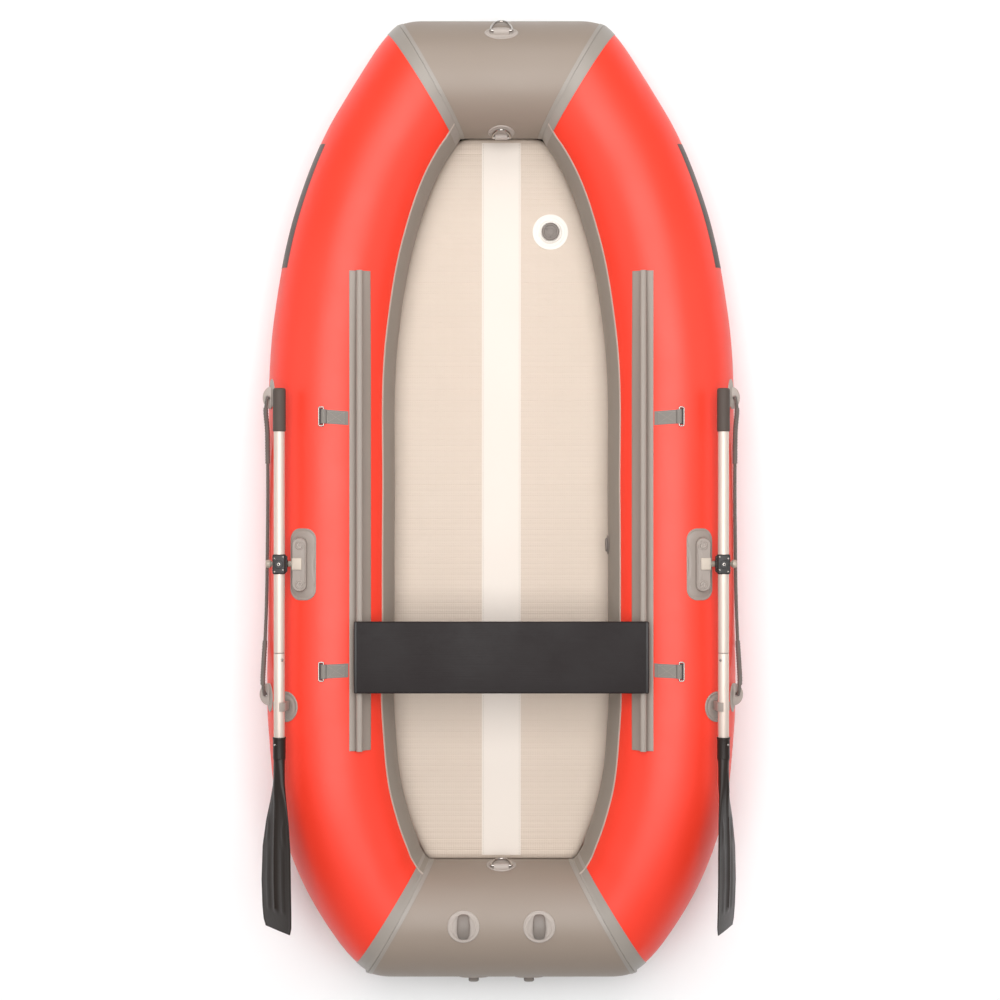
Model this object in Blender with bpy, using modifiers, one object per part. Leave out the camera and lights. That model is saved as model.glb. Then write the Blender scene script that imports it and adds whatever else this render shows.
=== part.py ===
"""Inflatable rowing dinghy: four fabric tubes round an inflated floor, a sliding seat and two oars.

Metres, +Z up, bow at +Y, starboard at +X. The origin is on the ground under the middle of the boat.
The boat rests on the lowest line of its tubes.
"""

import math

import bmesh
import bpy
import numpy as np
from mathutils import Matrix, Vector

GAP = 0.0004  # clearance between pieces that touch
X_AXIS, Y_AXIS, Z_AXIS = Vector((1, 0, 0)), Vector((0, 1, 0)), Vector((0, 0, 1))
SIDES = {"port": -1, "starboard": 1}

# Hull: (y, x, radius) of the starboard tube's centre line, from the bow mitre to the stern mitre
SIDE_STATIONS = (
    (1.152, 0.201, 0.157),
    (0.942, 0.328, 0.1615),
    (0.754, 0.397, 0.1665),
    (0.481, 0.449, 0.170),
    (0.008, 0.4615, 0.1705),
    (-0.292, 0.463, 0.171),
    (-0.612, 0.4615, 0.1715),
    (-0.845, 0.430, 0.1705),
    (-1.049, 0.345, 0.1625),
    (-1.135, 0.285, 0.157),
)
MITRE = math.radians(29.5)  # half of the turn between an end tube and a side tube
FABRIC = 0.0010  # thickness of the coated fabric
TUBE_SIDES = 24
SIDE_RINGS = 14
BOTTOM_Z = (0.0105, 0.0120)
FLOOR_Z = (0.0125, 0.1000)
BULKHEAD_RADIUS = 0.1535

# Seat and the two rails it slides on
RAIL_X, RAIL_HALF, RAIL_Y = 0.3745, 0.0275, (0.612, -0.658)
BEAD_Z = (0.3405, 0.3485)
BEAD_HALF, NECK_HALF = 0.0090, 0.0040
SEAT_SIZE = (0.776, 0.189, 0.015)
SEAT_Y, SEAT_Z = -0.4085, 0.3528
SLIDER_LENGTH, SLIDER_HALF = 0.150, 0.0150

# Oars and the locks that carry them
OAR_X, OAR_Z = 0.583, 0.368
LOCK_Y = -0.163
SHAFT_RADIUS, SHAFT_WALL, SHAFT_CLEAR = 0.0145, 0.0015, 0.0004
GRIP_Y, SHAFT_END_Y, SPLIT_Y = (0.2995, 0.185), 0.290, -0.396
BLADE_Y = (-0.617, -1.133)
BLADE_TILT = {"port": math.radians(51), "starboard": math.radians(65)}
PIN_Z, PIN_RADIUS = 0.336, 0.005
BODY_TOP_Z = 0.348
CLIP_Y, CLIP_ANGLE = -0.537, math.radians(38.6)

# Fittings
FLOOR_VALVE = (0.1355, 0.745)
SIDE_VALVE_Y = -0.115
TAB_YS = {"front": 0.2255, "rear": -0.447}
ROPE_EYES = {"front": (0.2800, 0.6278, 0.6415), "rear": (-0.5167, 0.6348, 0.6500)}  # y, hole's x, edge's x
ROPE_EYE_Z = 0.240
ROPE_RADIUS = 0.0045
WIRE = 0.0025

COLOURS = {
    "red_fabric": ((0.80, 0.055, 0.035), 0.45, 0.0),
    "grey_fabric": ((0.22, 0.19, 0.165), 0.5, 0.0),
    "bottom_fabric": ((0.10, 0.09, 0.085), 0.6, 0.0),
    "floor_fabric": ((0.72, 0.64, 0.54), 0.6, 0.0),
    "white_plastic": ((0.85, 0.84, 0.80), 0.4, 0.0),
    "grey_rubber": ((0.24, 0.22, 0.20), 0.6, 0.0),
    "webbing": ((0.20, 0.18, 0.16), 0.85, 0.0),
    "rope": ((0.12, 0.11, 0.105), 0.9, 0.0),
    "seat_board": ((0.035, 0.03, 0.03), 0.5, 0.0),
    "black_plastic": ((0.02, 0.018, 0.017), 0.4, 0.0),
    "blade_plastic": ((0.035, 0.027, 0.022), 0.35, 0.0),
    "aluminium": ((0.88, 0.87, 0.84), 0.3, 1.0),
    "steel": ((0.62, 0.60, 0.57), 0.25, 1.0),
}


# ---------------------------------------------------------------- scene and objects


def clear_scene():
    """Removes the scene's objects and makes the two collections."""
    for obj in list(bpy.data.objects):
        bpy.data.objects.remove(obj, do_unlink=True)
    for name in ("inflatable_dinghy", "cutters"):
        group = bpy.data.collections.new(name)
        bpy.context.scene.collection.children.link(group)


def material(name):
    """The named finish, made once."""
    found = bpy.data.materials.get(name)
    if found:
        return found
    colour, roughness, metallic = COLOURS[name]
    made = bpy.data.materials.new(name)
    made.use_nodes = True
    shader = made.node_tree.nodes["Principled BSDF"]
    shader.inputs["Base Color"].default_value = (*colour, 1)
    shader.inputs["Roughness"].default_value = roughness
    shader.inputs["Metallic"].default_value = metallic
    return made


def add(name, data, finish, matrix=None, parent=None):
    """Links an object of the boat, placed in the world and then parented."""
    obj = bpy.data.objects.new(name, data)
    bpy.data.collections["inflatable_dinghy"].objects.link(obj)
    if finish:
        data.materials.append(material(finish))
    obj.matrix_world = matrix or Matrix()
    if parent:
        bpy.context.view_layer.update()
        obj.parent = parent
        obj.matrix_parent_inverse = parent.matrix_world.inverted()
    return obj


def pivot(name, location, parent=None):
    """An empty on a joint's axis, for the pieces that turn with it."""
    return add(name, None, None, Matrix.Translation(location), parent)


def as_cutter(obj):
    """Moves an object to the cutters, which are never part of the boat."""
    bpy.data.collections["inflatable_dinghy"].objects.unlink(obj)
    bpy.data.collections["cutters"].objects.link(obj)
    obj.hide_render = True
    obj.display_type = "WIRE"


def boolean(obj, others, operation):
    """Joins the others to obj, or cuts them from it."""
    for other in others:
        as_cutter(other)
        modifier = obj.modifiers.new(f"{operation.lower()} {other.name}", "BOOLEAN")
        modifier.operation = operation
        modifier.solver = "EXACT"
        modifier.object = other
    return obj


def soften(obj, width, segments=1):
    """Rounds the sharp edges."""
    modifier = obj.modifiers.new("soften", "BEVEL")
    modifier.width = width
    modifier.segments = segments
    modifier.limit_method = "ANGLE"
    modifier.angle_limit = math.radians(40)
    return obj


def frame_of(origin, extend, normal):
    """A matrix at origin whose Y is extend and whose Z is normal."""
    y, z = extend.normalized(), normal.normalized()
    rotation = Matrix((y.cross(z), y, z)).transposed()
    return Matrix.Translation(origin) @ rotation.to_4x4()


# ---------------------------------------------------------------- shapes


def mesh_of(name, points, faces, smooth=True):
    """A mesh with its normals facing out."""
    mesh = bpy.data.meshes.new(name)
    mesh.from_pydata([tuple(p) for p in points], [], faces)
    solid = bmesh.new()
    solid.from_mesh(mesh)
    bmesh.ops.recalc_face_normals(solid, faces=solid.faces)
    solid.to_mesh(mesh)
    solid.free()
    if smooth:
        mesh.shade_smooth()
        mesh.set_sharp_from_angle(angle=math.radians(35))
    return mesh


def loft(name, rings, finish, matrix=None, parent=None):
    """A closed solid through rings that have the same number of points."""
    count = len(rings[0])
    points = [p for ring in rings for p in ring]
    faces = []
    for i in range(len(rings) - 1):
        for k in range(count):
            a, b = i * count + k, i * count + (k + 1) % count
            faces.append((a, b, b + count, a + count))
    faces.append(tuple(range(count)))
    faces.append(tuple(range(len(points) - count, len(points))))
    return add(name, mesh_of(name, points, faces), finish, matrix, parent)


def fabric_tube(name, outer, inner, finish):
    """A thin-walled tube, open at both ends, from its rings outside and inside."""
    count, rings = len(outer[0]), len(outer)
    points = [p for ring in outer + inner for p in ring]
    inside = count * rings
    faces = []
    for i in range(rings - 1):
        for k in range(count):
            a, b = i * count + k, i * count + (k + 1) % count
            faces.append((a, b, b + count, a + count))
            faces.append((a + inside, a + count + inside, b + count + inside, b + inside))
    for first in (0, inside - count):
        for k in range(count):
            a, b = first + k, first + (k + 1) % count
            faces.append((a, a + inside, b + inside, b))
    return add(name, mesh_of(name, points, faces), finish)


def block(name, low, high, finish, parent=None):
    """A box between two corners."""
    low, high = Vector(low), Vector(high)
    mesh = bpy.data.meshes.new(name)
    solid = bmesh.new()
    bmesh.ops.create_cube(solid, size=1)
    bmesh.ops.scale(solid, vec=high - low, verts=solid.verts)
    solid.to_mesh(mesh)
    solid.free()
    return add(name, mesh, finish, Matrix.Translation((low + high) / 2), parent)


def rod(name, start, end, radius, finish, sides=20, parent=None):
    """A cylinder between two points."""
    start, end = Vector(start), Vector(end)
    mesh = bpy.data.meshes.new(name)
    solid = bmesh.new()
    bmesh.ops.create_cone(
        solid, cap_ends=True, segments=sides, radius1=radius, radius2=radius, depth=(end - start).length
    )
    solid.to_mesh(mesh)
    solid.free()
    mesh.shade_smooth()
    mesh.set_sharp_from_angle(angle=math.radians(40))
    turn = (end - start).to_track_quat("Z", "Y").to_matrix().to_4x4()
    return add(name, mesh, finish, Matrix.Translation((start + end) / 2) @ turn, parent)


def turned(name, profile, finish, matrix, sides=20, parent=None):
    """A solid turned about its local Z from a closed profile of (radius, height) points."""
    mesh = bpy.data.meshes.new(name)
    points = [(radius, 0, height) for radius, height in profile]
    edges = [(i, i + 1) for i in range(len(points) - 1)]
    if profile[0][0] > 0 or profile[-1][0] > 0:
        edges.append((len(points) - 1, 0))
    mesh.from_pydata(points, edges, [])
    obj = add(name, mesh, finish, matrix, parent)
    screw = obj.modifiers.new("turn", "SCREW")
    screw.axis = "Z"
    screw.steps = screw.render_steps = sides
    screw.use_merge_vertices = True
    screw.merge_threshold = 0.00005
    return obj


def wire(name, points, radius, finish, matrix=None, closed=False, parent=None):
    """A round wire or cord through the points."""
    curve = bpy.data.curves.new(name, "CURVE")
    curve.dimensions = "3D"
    curve.bevel_depth = radius
    curve.bevel_resolution = 2
    curve.use_fill_caps = True
    spline = curve.splines.new("POLY")
    spline.points.add(len(points) - 1)
    for point, place in zip(spline.points, points, strict=True):
        point.co = (*place, 1)
    spline.use_cyclic_u = closed
    return add(name, curve, finish, matrix, parent)


def plate(name, outlines, thickness, finish, matrix, parent=None):
    """A flat plate from closed outlines in its local XY plane; an outline inside another is a hole."""
    curve = bpy.data.curves.new(name, "CURVE")
    curve.dimensions = "2D"
    curve.fill_mode = "BOTH"
    curve.extrude = thickness / 2
    for outline in outlines:
        spline = curve.splines.new("POLY")
        spline.points.add(len(outline) - 1)
        for point, (x, y) in zip(spline.points, outline, strict=True):
            point.co = (x, y, 0, 1)
        spline.use_cyclic_u = True
    guide = add(f"{name} outline", curve, None)
    graph = bpy.context.evaluated_depsgraph_get()
    mesh = bpy.data.meshes.new_from_object(guide.evaluated_get(graph))
    bpy.data.objects.remove(guide)
    solid = bmesh.new()
    solid.from_mesh(mesh)
    bmesh.ops.remove_doubles(solid, verts=solid.verts, dist=0.00001)
    bmesh.ops.recalc_face_normals(solid, faces=solid.faces)
    solid.to_mesh(mesh)
    solid.free()
    mesh.name = name
    return add(name, mesh, finish, matrix, parent)


def arc(radius_x, radius_y, start, end, count, centre=(0, 0)):
    """Points along an elliptical arc, with its angles in degrees."""
    turns = np.radians(np.linspace(start, end, count))
    return [(centre[0] + radius_x * math.cos(t), centre[1] + radius_y * math.sin(t)) for t in turns]


def stadium(half_u, half_v, radius, count):
    """A rounded rectangle, with count points at each corner."""
    corners = (
        (half_u - radius, half_v - radius, 0),
        (radius - half_u, half_v - radius, 90),
        (radius - half_u, radius - half_v, 180),
        (half_u - radius, radius - half_v, 270),
    )
    outline = []
    for u, v, start in corners:
        outline += arc(radius, radius, start, start + 90, count, (u, v))
    return outline


def subdivided(outline, longest):
    """The closed outline with its long edges divided."""
    points = []
    for (u0, v0), (u1, v1) in zip(outline, outline[1:] + outline[:1], strict=True):
        pieces = max(1, math.ceil(math.hypot(u1 - u0, v1 - v0) / longest))
        points += [(u0 + (u1 - u0) * k / pieces, v0 + (v1 - v0) * k / pieces) for k in range(pieces)]
    return points


# ---------------------------------------------------------------- the hull's surfaces


def along_side(y):
    """(x, radius, slope of x) of the starboard tube's centre line at y, on a smooth curve."""
    ys, values = np.array(SIDE_STATIONS)[::-1, 0], np.array(SIDE_STATIONS)[::-1, 1:]
    slopes = np.gradient(values, ys, axis=0)
    i = int(np.clip(np.searchsorted(ys, y) - 1, 0, len(ys) - 2))
    span = ys[i + 1] - ys[i]
    t = (y - ys[i]) / span
    weights = (2 * t**3 - 3 * t**2 + 1, t**3 - 2 * t**2 + t, 3 * t**2 - 2 * t**3, t**3 - t**2)
    x, radius = (
        weights[0] * values[i]
        + weights[1] * span * slopes[i]
        + weights[2] * values[i + 1]
        + weights[3] * span * slopes[i + 1]
    )
    slope = (1 - t) * slopes[i][0] + t * slopes[i + 1][0]
    return float(x), float(radius), float(slope)


def on_side(side, y, angle, height=0.0):
    """The point on a side tube at this angle from its top towards outboard."""
    x, radius, slope = along_side(y)
    outward = Vector((1, -slope, 0)).normalized()
    point = Vector((x, y, radius)) + (radius + height) * (math.sin(angle) * outward + math.cos(angle) * Z_AXIS)
    return Vector((side * point.x, point.y, point.z))


def side_frame(side, y, angle, height):
    """A frame on a side tube: Y runs round the tube to outboard and Z stands off it."""
    extend = Vector((side * math.cos(angle), 0, -math.sin(angle)))
    normal = Vector((side * math.sin(angle), 0, math.cos(angle)))
    return frame_of(on_side(side, y, angle, height), extend, normal)


def end_tube(end):
    """(y, radius) of the bow tube's centre line at end 1, or of the stern tube's at end -1."""
    station = SIDE_STATIONS[0 if end > 0 else -1]
    return station[0], station[2]


def on_end(end, x, angle, height=0.0):
    """The point on an end tube at this angle from its top towards the outside of the boat."""
    y, radius = end_tube(end)
    reach = radius + height
    return Vector((x, y + end * reach * math.sin(angle), radius + reach * math.cos(angle)))


def end_frame(end, x, angle, height):
    """A frame on an end tube: Y runs round the tube to the outside and Z stands off it."""
    extend = Vector((0, end * math.cos(angle), -math.sin(angle)))
    normal = Vector((0, end * math.sin(angle), math.cos(angle)))
    return frame_of(on_end(end, x, angle, height), extend, normal)


def fitted_pad(name, outline, thickness, place, finish, inset=0.003):
    """A patch that follows a tube. place turns (round, along, height) into a point."""
    loops = (
        (0.5, 0.0, 0.0008),
        (1.0, 0.0, 0.0008),
        (1.0, 0.0, thickness * 0.5),
        (1.0, inset, thickness),
        (0.5, 0.0, thickness),
    )
    points, faces, count = [], [], len(outline)
    for scale, edge, height in loops:
        for u, v in outline:
            size = math.hypot(u, v)
            share = scale * (1 - edge / size)
            points.append(place(u * share, v * share, height))
    for i in range(len(loops) - 1):
        for k in range(count):
            a, b = i * count + k, i * count + (k + 1) % count
            faces.append((a, b, b + count, a + count))
    for first, height in ((0, loops[0][2]), (count * (len(loops) - 1), thickness)):
        points.append(place(0, 0, height))
        for k in range(count):
            faces.append((first + k, first + (k + 1) % count, len(points) - 1))
    return add(name, mesh_of(name, points, faces), finish)


def loop_over(name, matrix, width, outer, inner, radius, bite):
    """An arch on a tube of this radius: width along the frame's X, spanning its Y, its feet set in by bite."""

    def foot(u):
        return (u, -bite - u * u / (2 * radius))

    outline = [foot(outer[0]), *arc(*outer, 0, 180, 9), foot(-outer[0])]
    outline += [foot(-inner[0]), *arc(*inner, 180, 0, 7), foot(inner[0])]
    stand = Matrix(((0, 0, 1, 0), (1, 0, 0, 0), (0, 1, 0, 0), (0, 0, 0, 1)))
    return plate(name, [outline], width, None, matrix @ stand)


def ring(name, width, depth, matrix, square=False, radius=WIRE, parent=None):
    """A wire ring whose straight bar lies on the frame's X and whose bow reaches along its Y."""
    half = width / 2
    if square:
        corner = 0.004
        points = [(-half, 0, 0), (half, 0, 0)]
        points += [(half - corner + x, y, 0) for x, y in arc(corner, corner, 0, 90, 3, (0, depth - corner))]
        points += [(corner - half + x, y, 0) for x, y in arc(corner, corner, 90, 180, 3, (0, depth - corner))]
    else:
        points = [(-half, 0, 0), (0, 0, 0)]
        points += [(x, y, 0) for x, y in arc(half, depth, 0, 168, 15)]
    return wire(name, points, radius, "steel", matrix, closed=True, parent=parent)


# ---------------------------------------------------------------- hull


def side_rings(side):
    """The side tube's rings: centre, direction outboard, half-width and height. The first and last are mitres."""
    first, last = SIDE_STATIONS[0][0] - 0.0005, SIDE_STATIONS[-1][0] + 0.0005
    rings = []
    for y in np.linspace(first, last, SIDE_RINGS):
        x, radius, slope = along_side(y)
        outward = Vector((1, -slope, 0)).normalized()
        half = radius
        if y in (first, last):
            outward = Vector((math.sin(MITRE), math.copysign(math.cos(MITRE), y), 0))
            half = radius / math.cos(MITRE)
        rings.append((Vector((side * x, y, radius)), Vector((side * outward.x, outward.y, 0)), half, radius))
    return rings


def ring_points(centre, outward, half, height, wall):
    """One ring of a tube, wall further in than its outside."""
    points = []
    for k in range(TUBE_SIDES):
        turn = 2 * math.pi * k / TUBE_SIDES
        across = outward * (half * (height - wall) / height * math.sin(turn))
        points.append(centre + across + Z_AXIS * ((height - wall) * math.cos(turn)))
    return points


def side_tube(name, side):
    """The red tube along one side of the boat."""
    rings = side_rings(side)
    outer = [ring_points(*r, 0) for r in rings]
    inner = [ring_points(*r, FABRIC) for r in rings]
    return fabric_tube(name, outer, inner, "red_fabric")


def cross_tube(name, end):
    """The grey tube across the bow or the stern."""
    y, radius = end_tube(end)
    reach = SIDE_STATIONS[0 if end > 0 else -1][1]
    half = radius / math.cos(MITRE)
    rings = []
    for side in (-1, 1):
        outward = Vector((side * math.sin(MITRE), end * math.cos(MITRE), 0))
        rings.append((Vector((side * (reach - 0.0005), y, radius)), outward, half, radius))
    outer = [ring_points(*r, 0) for r in rings]
    inner = [ring_points(*r, FABRIC) for r in rings]
    return fabric_tube(name, outer, inner, "grey_fabric")


def inboard_outline(height, clearance):
    """The space between the tubes at this height, as a closed outline."""
    half = []
    for centre, outward, wide, radius in side_rings(1):
        level = math.sqrt(1 - ((height - radius) / radius) ** 2)
        point = centre - outward * (wide * level + clearance * wide / radius)
        half.append((point.x, point.y))
    return half + [(-x, y) for x, y in reversed(half)]


def bottom_skin():
    """The fabric bottom, glued to the undersides of the tubes."""
    outline = inboard_outline(BOTTOM_Z[1], 0.001)
    middle = Matrix.Translation((0, 0, sum(BOTTOM_Z) / 2))
    return plate("bottom_skin", [outline], BOTTOM_Z[1] - BOTTOM_Z[0], "bottom_fabric", middle)


def air_floor():
    """The inflated floor: a hollow of coated fabric with a hole for its valve."""
    outline = inboard_outline(FLOOR_Z[1], 0.0012)
    middle = Matrix.Translation((0, 0, sum(FLOOR_Z) / 2))
    floor = plate("air_floor", [outline], FLOOR_Z[1] - FLOOR_Z[0], "floor_fabric", middle)
    wall = floor.modifiers.new("wall", "SOLIDIFY")
    wall.thickness = FABRIC
    wall.offset = -1
    x, y = FLOOR_VALVE
    hole = rod("valve hole", (x, y, FLOOR_Z[1] - 0.01), (x, y, FLOOR_Z[1] + 0.01), 0.0265, None)
    return boolean(floor, [hole], "DIFFERENCE")


def hull():
    """The tubes, what divides them inside, the bottom and the floor."""
    for name, side in SIDES.items():
        side_tube(f"tube_{name}", side)
    for name, end in (("bow", 1), ("stern", -1)):
        cross_tube(f"{name}_tube", end)
        y, radius = end_tube(end)
        start, stop = (-0.0005, y, radius), (0.0005, y, radius)
        rod(f"bulkhead_{name}", start, stop, BULKHEAD_RADIUS, "grey_fabric", TUBE_SIDES)
    bottom_skin()
    air_floor()


# ---------------------------------------------------------------- valves


def floor_valve():
    """The valve of the inflated floor: patch, body and a cap that turns off."""
    x, y = FLOOR_VALVE
    top = FLOOR_Z[1]
    place = Matrix.Translation((x, y, top))
    patch = [(0.0485, 0.0016), (0.0490, 0.0003), (0.0272, 0.0003), (0.0272, 0.0016)]
    turned("floor_valve_patch", patch, "white_plastic", place, 28)
    body = [(0.0300, 0.0050), (0.0300, 0.0020), (0.0252, 0.0020), (0.0252, -0.030)]
    body += [(0.0205, -0.030), (0.0205, 0.0050)]
    turned("floor_valve_body", body, "grey_rubber", place, 24)
    cap = [(0, 0.0120), (0.0215, 0.0120), (0.0245, 0.0095), (0.0245, 0.0054)]
    cap += [(0.0198, 0.0054), (0.0198, -0.010), (0, -0.010)]
    turned("floor_valve_cap", cap, "grey_rubber", place, 24)


def side_valve():
    """The tubes' valve, in the starboard tube's inner wall, facing inboard."""
    wall = on_side(1, SIDE_VALVE_Y, -math.pi / 2)
    place = frame_of(wall, Y_AXIS, -X_AXIS)
    body = [(0.0250, 0.0030), (0.0260, 0.0005), (0.0170, 0.0005), (0.0170, -0.030)]
    body += [(0.0130, -0.030), (0.0130, 0.0030)]
    turned("side_valve_body", body, "grey_rubber", place, 20)
    cap = [(0, 0.0085), (0.0165, 0.0085), (0.0190, 0.0065), (0.0190, 0.0034)]
    cap += [(0.0124, 0.0034), (0.0124, -0.010), (0, -0.010)]
    turned("side_valve_cap", cap, "grey_rubber", place, 20)
    hole = rod("side valve hole", wall - X_AXIS * 0.02, wall + X_AXIS * 0.02, 0.0180, None)
    boolean(bpy.data.objects["tube_starboard"], [hole], "DIFFERENCE")


# ---------------------------------------------------------------- seat


def rail_section(side, y):
    """One section of a rail: a foot that follows the tube and a level bead on a neck."""

    def surface(offset, height):
        x, radius, slope = along_side(y)
        across = (RAIL_X + offset - x) / math.hypot(1, slope)
        return radius + math.sqrt((radius + height) ** 2 - across**2)

    foot = [(o, surface(o, 0.0014)) for o in (-RAIL_HALF, -RAIL_HALF / 2, 0, RAIL_HALF / 2, RAIL_HALF)]
    low, high = BEAD_Z
    shoulder = surface(NECK_HALF, 0.0036)
    section = [*foot, (RAIL_HALF, surface(RAIL_HALF, 0.0030)), (NECK_HALF, shoulder)]
    bead = [(NECK_HALF, low), (BEAD_HALF, low + 0.002), (BEAD_HALF, high - 0.003), (BEAD_HALF - 0.003, high)]
    section += bead + [(-o, z) for o, z in reversed(bead)]
    section += [(-NECK_HALF, shoulder), (-RAIL_HALF, surface(-RAIL_HALF, 0.0030))]
    return [Vector((side * (RAIL_X + offset), y, z)) for offset, z in section]


def slider_section():
    """The channel that wraps a rail's bead, open downwards."""
    low, lip, roof, top = 0.3370, 0.3397, 0.3495, SEAT_Z - GAP
    inner, mouth = BEAD_HALF + 0.0012, NECK_HALF + 0.0020
    half = [(SLIDER_HALF, top), (SLIDER_HALF, low), (mouth, low), (mouth, lip), (inner, lip), (inner, roof)]
    return half + [(-x, z) for x, z in reversed(half)]


def seat():
    """The seat board, its two sliders and the rails."""
    carrier = pivot("seat_carrier", (0, SEAT_Y, SEAT_Z))
    half_x, half_y = SEAT_SIZE[0] / 2, SEAT_SIZE[1] / 2
    low, high = (-half_x, SEAT_Y - half_y, SEAT_Z), (half_x, SEAT_Y + half_y, SEAT_Z + SEAT_SIZE[2])
    soften(block("seat_board", low, high, "seat_board", carrier), 0.0025, 2)
    for name, side in SIDES.items():
        rings = [rail_section(side, y) for y in np.linspace(*RAIL_Y, 10)]
        loft(f"seat_rail_{name}", rings, "grey_rubber")
        ends = (SEAT_Y - SLIDER_LENGTH / 2, SEAT_Y + SLIDER_LENGTH / 2)
        channel = [[Vector((side * RAIL_X + x, y, z)) for x, z in slider_section()] for y in ends]
        loft(f"seat_slider_{name}", channel, "black_plastic", parent=carrier)


# ---------------------------------------------------------------- oars


def lock_pad(name, side):
    """The oarlock's rubber mount: a patch on the tube and a raised body with a slot."""
    centre_y, middle = LOCK_Y - 0.002, math.radians(21.3)

    def place(u, v, height):
        return on_side(side, centre_y + v, middle + u / along_side(centre_y)[1], height)

    pad = fitted_pad(name, stadium(0.0375, 0.0950, 0.030, 5), 0.003, place, "grey_rubber")
    centre_x = 0.533
    base, crown = [], []
    for u, v in stadium(0.0200, 0.0720, 0.018, 4):
        x, radius, _ = along_side(centre_y + v)
        low = radius + math.sqrt((radius + 0.0018) ** 2 - (centre_x + u - x) ** 2)
        base.append(Vector((side * (centre_x + u), centre_y + v, low)))
        crown.append(Vector((side * (centre_x + u * 0.88), centre_y + v * 0.97, BODY_TOP_Z)))
    body = loft(f"{name} body", [base, crown], None)
    pad = boolean(pad, [body], "UNION")
    slot_low = (0.5250, LOCK_Y - 0.0166, 0.3285)
    slot_high = (0.5700, LOCK_Y + 0.0166, 0.3600)
    slot = block(f"{name} slot", slot_low, slot_high, None)
    slot.location.x *= side
    return boolean(pad, [slot], "DIFFERENCE")


def lock_pin(name, side):
    """The steel block in the mount's slot with the pin that carries the oar's bracket."""
    low, high = (0.5260, LOCK_Y - 0.0160, 0.3295), (0.5530, LOCK_Y + 0.0160, 0.3480)
    body = block(name, low, high, "steel")
    body.location.x *= side
    soften(body, 0.0012)
    reach = ((0.5400, 0.6150, PIN_RADIUS), (0.5540, 0.5562, 0.0090), (0.5580, 0.5602, 0.0080))
    reach += ((0.6140, 0.6190, 0.0105), (0.6185, 0.6205, 0.0075))
    pieces = []
    for i, (start, end, radius) in enumerate(reach):
        ends = (side * start, LOCK_Y, PIN_Z), (side * end, LOCK_Y, PIN_Z)
        pieces.append(rod(f"{name} turn {i}", *ends, radius, None, 16))
    return boolean(body, pieces, "UNION")


def oar_bracket(name, side, parent):
    """The bracket that rocks on the pin and carries the oar on its flat top."""
    start, end = 0.5640, 0.6020
    hub = rod(name, (side * start, LOCK_Y, PIN_Z), (side * end, LOCK_Y, PIN_Z), 0.0095, "black_plastic", 20, parent)
    table = block(f"{name} table", (start, LOCK_Y - 0.021, 0.3425), (end, LOCK_Y + 0.021, 0.3505), None)
    table.location.x *= side
    boolean(hub, [table], "UNION")
    bore = rod(f"{name} bore", (side * 0.55, LOCK_Y, PIN_Z), (side * 0.62, LOCK_Y, PIN_Z), 0.0054, None, 16)
    socket = rod(f"{name} socket", (side * OAR_X, LOCK_Y, 0.3458), (side * OAR_X, LOCK_Y, 0.36), 0.0064, None)
    return boolean(hub, [bore, socket], "DIFFERENCE")


def oar_sleeve(name, side, parent):
    """The black clamp round the shaft, with the stub that turns in the bracket."""
    centre = Vector((side * OAR_X, LOCK_Y, OAR_Z))
    half = Vector((0.0165, 0.0260, 0.0172))
    sleeve = block(name, centre - half, centre + half, "black_plastic", parent)
    soften(sleeve, 0.005, 2)
    stub = rod(f"{name} stub", (centre.x, LOCK_Y, 0.3464), (centre.x, LOCK_Y, 0.3530), 0.0060, None)
    bolt = rod(f"{name} bolt", (centre.x, LOCK_Y, 0.3840), (centre.x, LOCK_Y, 0.3885), 0.0095, None)
    boolean(sleeve, [stub, bolt], "UNION")
    reach = Y_AXIS * 0.04
    bore = rod(f"{name} bore", centre - reach, centre + reach, SHAFT_RADIUS + SHAFT_CLEAR, None)
    return boolean(sleeve, [bore], "DIFFERENCE")


def shaft_pieces(name, side, parent):
    """The grip and the two tubes of the shaft, which plug together."""
    place = frame_of(Vector((side * OAR_X, 0, OAR_Z)), Z_AXIS, Y_AXIS)
    outer, inner = SHAFT_RADIUS, SHAFT_RADIUS - SHAFT_WALL
    bore = outer + SHAFT_CLEAR
    top, foot = GRIP_Y
    grip = [(0, top), (0.0145, top), (0.0170, top - 0.003), (0.0170, foot), (bore, foot)]
    grip += [(bore, SHAFT_END_Y + 0.001), (0, SHAFT_END_Y + 0.001)]
    turned(f"oar_grip_{name}", grip, "black_plastic", place, 20, parent)
    upper = [(outer, SHAFT_END_Y), (outer, SPLIT_Y), (inner, SPLIT_Y), (inner, SHAFT_END_Y)]
    turned(f"oar_shaft_upper_{name}", upper, "aluminium", place, 20, parent)
    end, plug = BLADE_Y[0] - 0.034, inner - SHAFT_CLEAR
    lower = [(plug, SPLIT_Y + 0.06), (plug, SPLIT_Y - GAP), (outer, SPLIT_Y - GAP), (outer, end)]
    lower += [(inner - 0.002, end), (inner - 0.002, SPLIT_Y + 0.06)]
    turned(f"oar_shaft_lower_{name}", lower, "aluminium", place, 20, parent)


def blade_section(y, width, thickness, slant, bow):
    """Ten points round the blade at y: x is across it and z stands off it."""
    across = (1.0, 0.62, 0.0, -0.62, -1.0)
    edge = min(thickness / 2, 0.0016)
    rise = (edge, thickness * 0.36, thickness / 2, thickness * 0.36, edge)
    upper = [Vector((a * width / 2, y + slant * a, bow + r)) for a, r in zip(across, rise, strict=True)]
    lower = [Vector((p.x, p.y, 2 * bow - p.z)) for p in reversed(upper)]
    return upper + lower


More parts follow.
